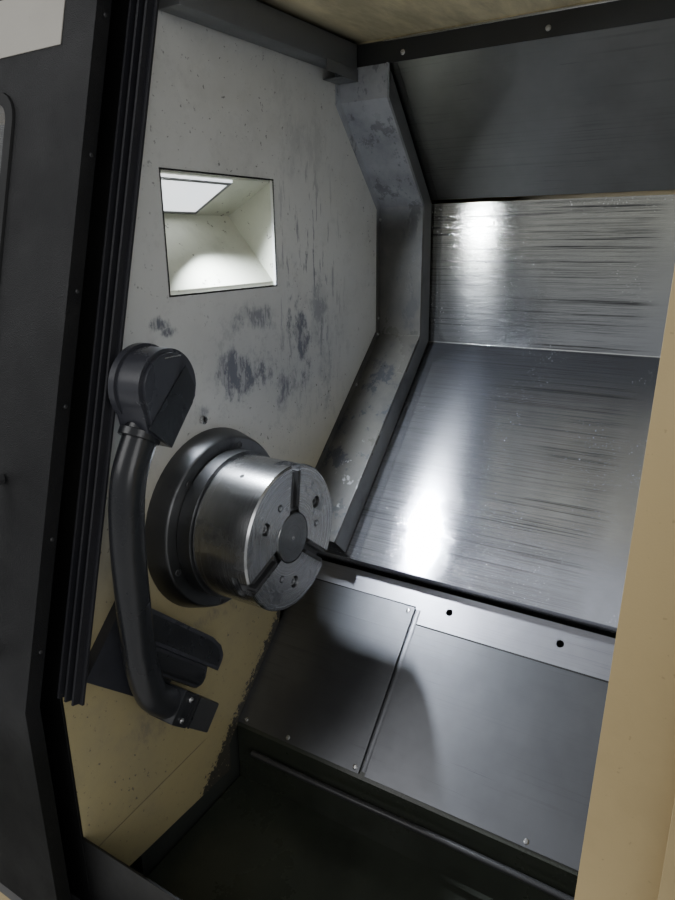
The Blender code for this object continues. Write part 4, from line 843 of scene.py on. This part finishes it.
def make_panel_details(bright, pitch, sheet, upper):
    """Screws and seams of the lower panels, black lines of painted shade at their edges, the header's trim,
    the upper panel's end.
    """
    screws = Shape()
    for x, s in PANEL_SCREWS:
        screws.button(slope(x, s, PANEL_N), SLOPE_OUT, 0.0048, 0.0016)
    screws.piece("lower_panel_screws", bright, "lower_left_panel")
    header = Shape()
    for x in (0.142, 0.42, 0.70, 0.98):
        header.button((x, 0.4600, 0.827), -BACK, 0.0052, 0.0022)
    header.piece("header_screws", bright, "ceiling_panel")
    line = Shape().block((0.10, 0.4578, 0.8495), (1.24, 0.4597, 0.8535), 0.0006)
    line.piece("header_edge", bright, "ceiling_panel")
    under = PANEL_N - 0.0034
    seams = on_slope(Shape(), (0.2873, 0.2997), (-0.300, 0.020), (under - 0.0010, under - 0.0002))
    seams.piece("panel_backing", sheet, "lip_plate")
    # Painted shade: thin black strips along the panels' top edges stand in for the shade where they meet the
    # lip.
    edge_shade_line = on_slope(Shape(), (0.300, 0.860), (-0.0116, -0.0086), (under + 0.0001, PANEL_N - 0.0006))
    on_slope(edge_shade_line, (0.004, 0.287), (0.0223, 0.0245), (under + 0.0001, PANEL_N - 0.0008))
    edge_shade_line.piece("panel_edge_shade", pitch, "lip_plate")
    low, high = Vector((0, 0.676, 0.568)), Vector((0, 0.4633, 0.813))
    back = Vector((0, 0.755, 0.656)) * 0.0016
    outline = (low, high, high + back, low + back)
    end = Shape().skin([[(x, p.y, p.z) for p in outline] for x in (0.030, 0.1276)])
    end.piece("upper_panel_end", upper, "upper_back_panel")


def make_door_details(bare, dotted, dark):
    """Bare plate near the door's top, the screws of its edge and the dotted film of its pane."""
    up = Vector((0, sin(LEAN), cos(LEAN)))

    def sheet(x, z, out, width, height, thick):
        """Thin sheet on the door's face; x and z are those of its lower right corner."""
        place = Vector((x, front_y(z, DOOR_FACE_OUT + out * cos(LEAN)), z + out * sin(LEAN)))
        outline = [(-width, 0), (0, 0), (0, height), (-width, height)]
        return Shape().prism(outline, thick, place, RIGHT, up)

    sheet(-0.077, 0.749, 0.0002, 0.20, 0.085, 0.0012).piece("bare_plate", bare, "door_panel")
    screws = Shape()
    for z in (0.78, 0.60, 0.42, 0.264, 0.08, -0.08):
        screws.button((-0.010, front_y(z, DOOR_FACE_OUT - 0.016), z), RIGHT, 0.0030, 0.0014)
    screws.piece("door_edge_screws", dark, "door_panel")
    sheet(-0.172, 0.075, 0.0004, 0.040, 0.60, 0.0006).piece("pane_film", dotted, "door_window")


def make_arm_details(bright, black):
    """Clamp of the arm's head, ring of its tube, plate of its housing with a painted highlight on its edge,
    pads of the parked bracket.
    """
    turn = Matrix.Rotation(HEAD_TURN, 3, "X")

    def at(x, along, across):
        return HEAD_MIDDLE + turn @ Vector((x, along, across))

    def block(half, bevel, place):
        clamp.block(-Vector(half), half, bevel, turn, at(*place))

    clamp = Shape()
    block((0.02625, 0.020, 0.0275), 0.002, (0, -0.034, 0))
    for along in (-0.022, -0.010):
        block((0.001, 0.0012, 0.0262), 0.0003, (0.0268, along, 0))
    block((0.022, 0.0015, 0.022), 0.001, (0, 0.0522, 0))
    clamp.piece("arm_clamp", black, "arm_head")
    screws = Shape()
    for across in (-0.017, 0.017):
        screws.screw(at(0.0268, -0.036, across), RIGHT, 0.0048, 0.0036)
    screws.piece("arm_clamp_screws", bright, "arm_head")
    profile = [(-0.006, 0.0285), (-0.005, 0.0300), (0.005, 0.0300), (0.006, 0.0285)]
    ring = Shape().turned((0.078, -0.2225, 0.2215), (0, 0.52, 0.85), profile, 40)
    ring.piece("arm_tube_ring", black, "arm_housing")
    outline = [(-0.185, 0.291), (-0.237, 0.239), (-0.199, 0.203), (-0.150, 0.259), (-0.143, 0.283),
               (-0.158, 0.315)]
    plate = Shape().skin([[(x, y, z) for y, z in outline] for x in (0.1142, 0.1158)])
    plate.piece("arm_cover_plate", black, "arm_housing")
    pads = Shape()
    corner, down, along = (Vector((0, y, z)) for y, z in BRACKET_EDGES)
    for outline, low, tall in ((CAP_PAD, 0.0498, 0.0010), (CAN_PAD, 0.0438, 0.0022)):
        inset = [(a * 0.94 + 0.0014, b * 0.985 + 0.0018) for a, b in outline]
        levels = ((low, outline), (low + tall * 0.6, outline), (low + tall, inset))
        pads.skin([[corner + RIGHT * x + down * a + along * b for a, b in run] for x, run in levels])
    pads.piece("bracket_pads", black, "park_bracket")
    # Painted highlight: a thin bright sliver on the plate's top edge stands in for a glint.
    lip = Shape().block((0.1090, -0.196, 0.3300), (0.1150, -0.166, 0.3318), 0.0004)
    lip.piece("arm_plate_glint", bright, "arm_housing")


def make_wash_pipe(dark):
    """The coolant pipe that lies along the trough, not quite straight."""
    stations = (0.05, 0.10, 0.16, 0.24, 0.34, 0.46, 0.60, 0.74)
    run = [(x, 0.012, -0.507 - 0.002 * sin(x * 9)) for x in stations]
    Shape().tube(run, 0.006, 14).piece("wash_pipe", dark, "chip_trough")


def make_service_door(beige, dark, name, side, corner, size, rows=0, latch=True):
    """Raised access door with louvres, turn fasteners and a latch; side is (node, across, up)."""
    node, across, up = side
    corner, out = Vector(corner), across.cross(up)
    width, height = size

    def at(a, b, raised=0.0):
        return corner + across * a + up * b + out * (DOOR_SHEET + raised)

    door = Shape().plate(corner, across, up, size, DOOR_SHEET, 0.0010)
    if rows:
        count = 2 if width > 0.5 else 1
        wide = (width - 0.10 - 0.06 * (count - 1)) / count
        for column in range(count):
            door.louvres(at(0.05 + column * (wide + 0.06), 0.07), across, up, wide, rows)
    door.piece(name, beige, node)
    fasteners = Shape()
    for a in (0.022, width - 0.022):
        for b in (0.03, height / 2, height - 0.03):
            fasteners.button(at(a, b), out, 0.0085, 0.0020)
    if latch:
        a, b = width - 0.085, height / 2 - 0.045
        fasteners.plate(at(a, b), across, up, (0.034, 0.090), 0.0016, 0.0007)
        fasteners.plate(at(a + 0.008, b + 0.012, 0.0016), across, up, (0.018, 0.066), 0.0030, 0.0012)
    fasteners.piece(name + "_fasteners", dark, node)


def make_outside(beige, dark, rubber):
    """Doors, lids and isolator of the guard's outside, which the photograph doesn't show."""
    left, right = ("left_side_cover", -BACK, UP), ("right_side_cover", BACK, UP)
    rear, roof = ("rear_cover", -RIGHT, UP), ("roof_cover", RIGHT, BACK)
    doors = [
        ("left_upper_door", left, (GUARD_LEFT, 0.86, 0.02), (0.92, 0.72)),
        ("left_lower_door", left, (GUARD_LEFT, 0.86, -0.92), (1.10, 0.86), 9),
        ("right_upper_door", right, (GUARD_RIGHT, -0.06, 0.02), (0.92, 0.72)),
        ("right_lower_door", right, (GUARD_RIGHT, -0.24, -0.92), (1.10, 0.86), 9),
    ]
    for index, (x, wide) in enumerate(((1.70, 0.86), (0.78, 0.86), (-0.14, 0.90))):
        doors.append((f"rear_lower_door_{index}", rear, (x, GUARD_REAR, -0.92), (wide, 0.84), 14))
        doors.append((f"rear_upper_door_{index}", rear, (x, GUARD_REAR, -0.02), (wide, 0.84)))
    for index, (x, wide) in enumerate(((-1.02, 0.80), (-0.14, 0.86), (0.80, 0.86))):
        doors.append((f"roof_lid_{index}", roof, (x, 0.08, GUARD_TOP), (wide, 0.84), 0, False))
    front_left, front_right = ("front_left_cover", RIGHT, UP), ("front_right_cover", RIGHT, UP)
    doors.append(("front_kick_panel", front_left, (-1.05, FRONT_FOOT_Y, -0.95), (0.95, 0.27), 0, False))
    doors.append(("front_right_door", front_right, (1.385, FRONT_FOOT_Y, -0.93), (0.33, 0.74), 8))
    for door in doors:
        make_service_door(beige, dark, *door)
    place = (-1.05, FRONT_FOOT_Y - 0.0002, -0.662)
    skirt = Shape().plate(place, RIGHT, UP, (1.788, 0.064), 0.004, 0.0015)
    skirt.piece("door_skirt", rubber, "door_rail_lower")
    y = GUARD_REAR + DOOR_SHEET
    isolator = Shape().plate((1.10, y, 0.50), -RIGHT, UP, (0.085, 0.085), 0.0015, 0.0006)
    profile = [(0, 0.026), (0.0020, 0.025), (0.0026, 0.020)]
    isolator.turned((1.0575, y + 0.0015, 0.5425), BACK, profile, 32)
    isolator.plate((1.064, y + 0.0041, 0.520), -RIGHT, UP, (0.013, 0.045), 0.0022, 0.0008)
    isolator.piece("mains_isolator", dark, "rear_cover")


def make_control_details(dark, bright, screen, keys):
    """Screen, key fields, dials and pointers of the control panel, all without legends."""
    foot, top = Vector((0, PANEL_FACE_Y, 0.15)), Vector((0, front_y(0.42, 0.09), 0.42))
    up = (top - foot).normalized()

    def at(x, rise):
        """A point on the panel's leaning upper face."""
        return foot + RIGHT * x + up * rise

    corners = [at(0.965, 0.075), at(1.225, 0.075), at(1.225, 0.268), at(0.965, 0.268)]
    bezel = Shape().rim(corners, 0.012, 0.0035, RIGHT.cross(up))
    bezel.piece("screen_bezel", dark, "control_panel")
    glass = Shape().plate(at(0.966, 0.076), RIGHT, up, (0.258, 0.191), 0.0012, 0.0004)
    glass.piece("screen_glass", screen, "control_panel")
    caps = Shape()
    for column in range(10):
        caps.plate(at(0.965 + column * 0.0262, 0.028), RIGHT, up, (0.020, 0.018), 0.0032, 0.0012)
    for column in range(8):
        for row in range(4):
            corner = (1.02 + column * 0.0215, PANEL_FACE_Y - 0.0001, 0.010 + row * 0.0245)
            caps.plate(corner, RIGHT, UP, (0.0165, 0.0175), 0.0030, 0.0012)
    caps.piece("control_keys", keys, "control_panel")
    dials, pointers = Shape(), Shape()
    profile = [(0, 0.021), (0.002, 0.021), (0.0022, 0.0155), (0.014, 0.0140), (0.0155, 0.0120)]
    for x, z in ((1.235, 0.105), (1.235, 0.045), (0.950, 0.115)):
        dials.turned((x, PANEL_FACE_Y, z), -BACK, profile, 36)
        pointers.block((x - 0.0010, -0.4742, z + 0.002), (x + 0.0010, -0.4730, z + 0.0118), 0.0003)
    dials.piece("control_dials", dark, "control_panel")
    pointers.piece("dial_pointers", bright, "control_panel")


def make_glasses():
    """The wiped dark screen, the clear pane of the door and the lamp's glowing glass."""
    screen = Finish("screen", 0.08)
    screen.colour(screen.mix(screen.noise(6, 3), (0.010, 0.012, 0.016), (0.018, 0.020, 0.024)))
    screen.rough(screen.ramp(screen.noise(25, 4), 0.4, 0.7, 0.06, 0.22))
    pane = Finish("pane", 0.05, 0.0, Transmission_Weight=0.9, IOR=1.45)
    pane.rough(pane.ramp(pane.noise(8, 3), 0.4, 0.7, 0.03, 0.12))
    lit = Finish("lit_glass", 0.4)
    glow = lit.ramp(lit.noise(9, 3), 0.3, 0.7)
    lit.feed(lit.shader.inputs["Emission Color"], lit.mix(glow, (0.85, 0.93, 1.0), (1.0, 1.0, 1.0)))
    lit.shader.inputs["Emission Strength"].default_value = LAMP_GLASS_GLOW
    return screen, pane, lit


def dress_nodes():
    """Finishes and eases the solids, then adds the small pieces."""
    paint = {name: painted(name, *values) for name, values in PAINTS.items()}
    beige, dark, black = paint["beige_enamel"], paint["blackened_steel"], paint["arm_black"]
    grime, pitch, hub = paint["grimy_steel"], paint["pitch"], paint["hub_black"]
    texture = textured_black("black_texture")
    upper = brushed("upper_sheet", (0.235, 0.235, 0.22), 0.34, 0.5, 0.8)
    panel = brushed("panel_sheet", (0.185, 0.19, 0.205), 0.36, 0.3, 0.6, 0.88)
    bright = brushed("bright_steel", (0.62, 0.62, 0.62), 0.25)
    chuck = turned_steel("chuck_steel", (0.50, 0.505, 0.515), 0.25)
    screen, pane, lit = make_glasses()
    groups = (
        (stained_wall("wall_cream"), "spindle_side_wall"),
        (paint["pocket_cream"], "tail_side_wall lamp_recess"),
        (worn_strip_with_painted_light("strip_paint"), "frame_strip"),
        (grimy_shaded_ceiling("ceiling_grime_and_shadow"), "ceiling_panel"),
        (texture, "door_panel spindle_motor"),
        (textured_black("channel_black", (0.020, 0.020, 0.024), 0.36), "jamb_channel"),
        (black, "arm_tube"),
        (hub, "arm_housing arm_hub park_bracket"),
        (scored_cover("cover_sheet"), "left_way_cover right_way_cover"),
        (upper, "upper_back_panel"),
        (panel, "lower_left_panel lower_right_panel"),
        (brushed("lip_sheet", (0.47, 0.475, 0.52), 0.36, 0.3, 0.6, 0.86), "lip_plate"),
        (chuck, "chuck_body"),
        (turned_steel("plate_steel", (0.20, 0.205, 0.21), 0.30), "chuck_centre_plate"),
        (turned_steel("flange_steel", (0.15, 0.152, 0.157), 0.40, 0.4), "nose_cover chuck_back_plate"),
        (turned_steel("ground_steel", (0.45, 0.45, 0.46), 0.22),
         "turret_disc quill z_rail_lower z_rail_upper front_bearing spindle_shaft"),
        (paint["oiled_iron"], "bed_casting headstock_casting"),
        (paint["casting_paint"],
         "tailstock_way tailstock_body saddle turret_slide spindle_pulley motor_pulley"),
        (paint["rubber"], "window_seal drive_belt"),
        (pane, "door_window"),
        (lit, "lamp_glass"),
        (edged_beige("left_guard", "X", -0.075, -0.070, -0.60), "front_left_cover"),
        (edged_beige("apron", "Z", -0.602, -0.600), "front_apron"),
        (dark, "draw_tube arm_head door_handle door_rail_upper door_rail_lower "
               "master_jaw_1 master_jaw_2 master_jaw_3"),
        (paint["trough_film"], "chip_trough"),
        (paint["red_knob"], "emergency_stop"),
    )
    finishes = {name: finish for finish, names in groups for name in names.split()}
    eased = {name: bevel for bevel, names in EASED for name in names.split()}
    for name, node in NODES.items():
        finish = finishes.get(name, beige)
        finish.dress(node)
        if name in eased:
            refined(name, finish, eased[name])
    make_chuck_details(chuck, pitch, bright, dark)
    make_flange_details(dark, bright)
    make_wall_details(bright, grime)
    make_panel_details(bright, pitch, panel, upper)
    make_door_details(paint["bare_metal_plate"], dotted_film("dotted_film"), dark)
    make_arm_details(bright, black)
    make_wash_pipe(dark)
    make_outside(beige, dark, paint["rubber"])
    make_control_details(dark, bright, screen, paint["key_caps"])


make_camera()
make_lights()
make_floor()
dress_nodes()
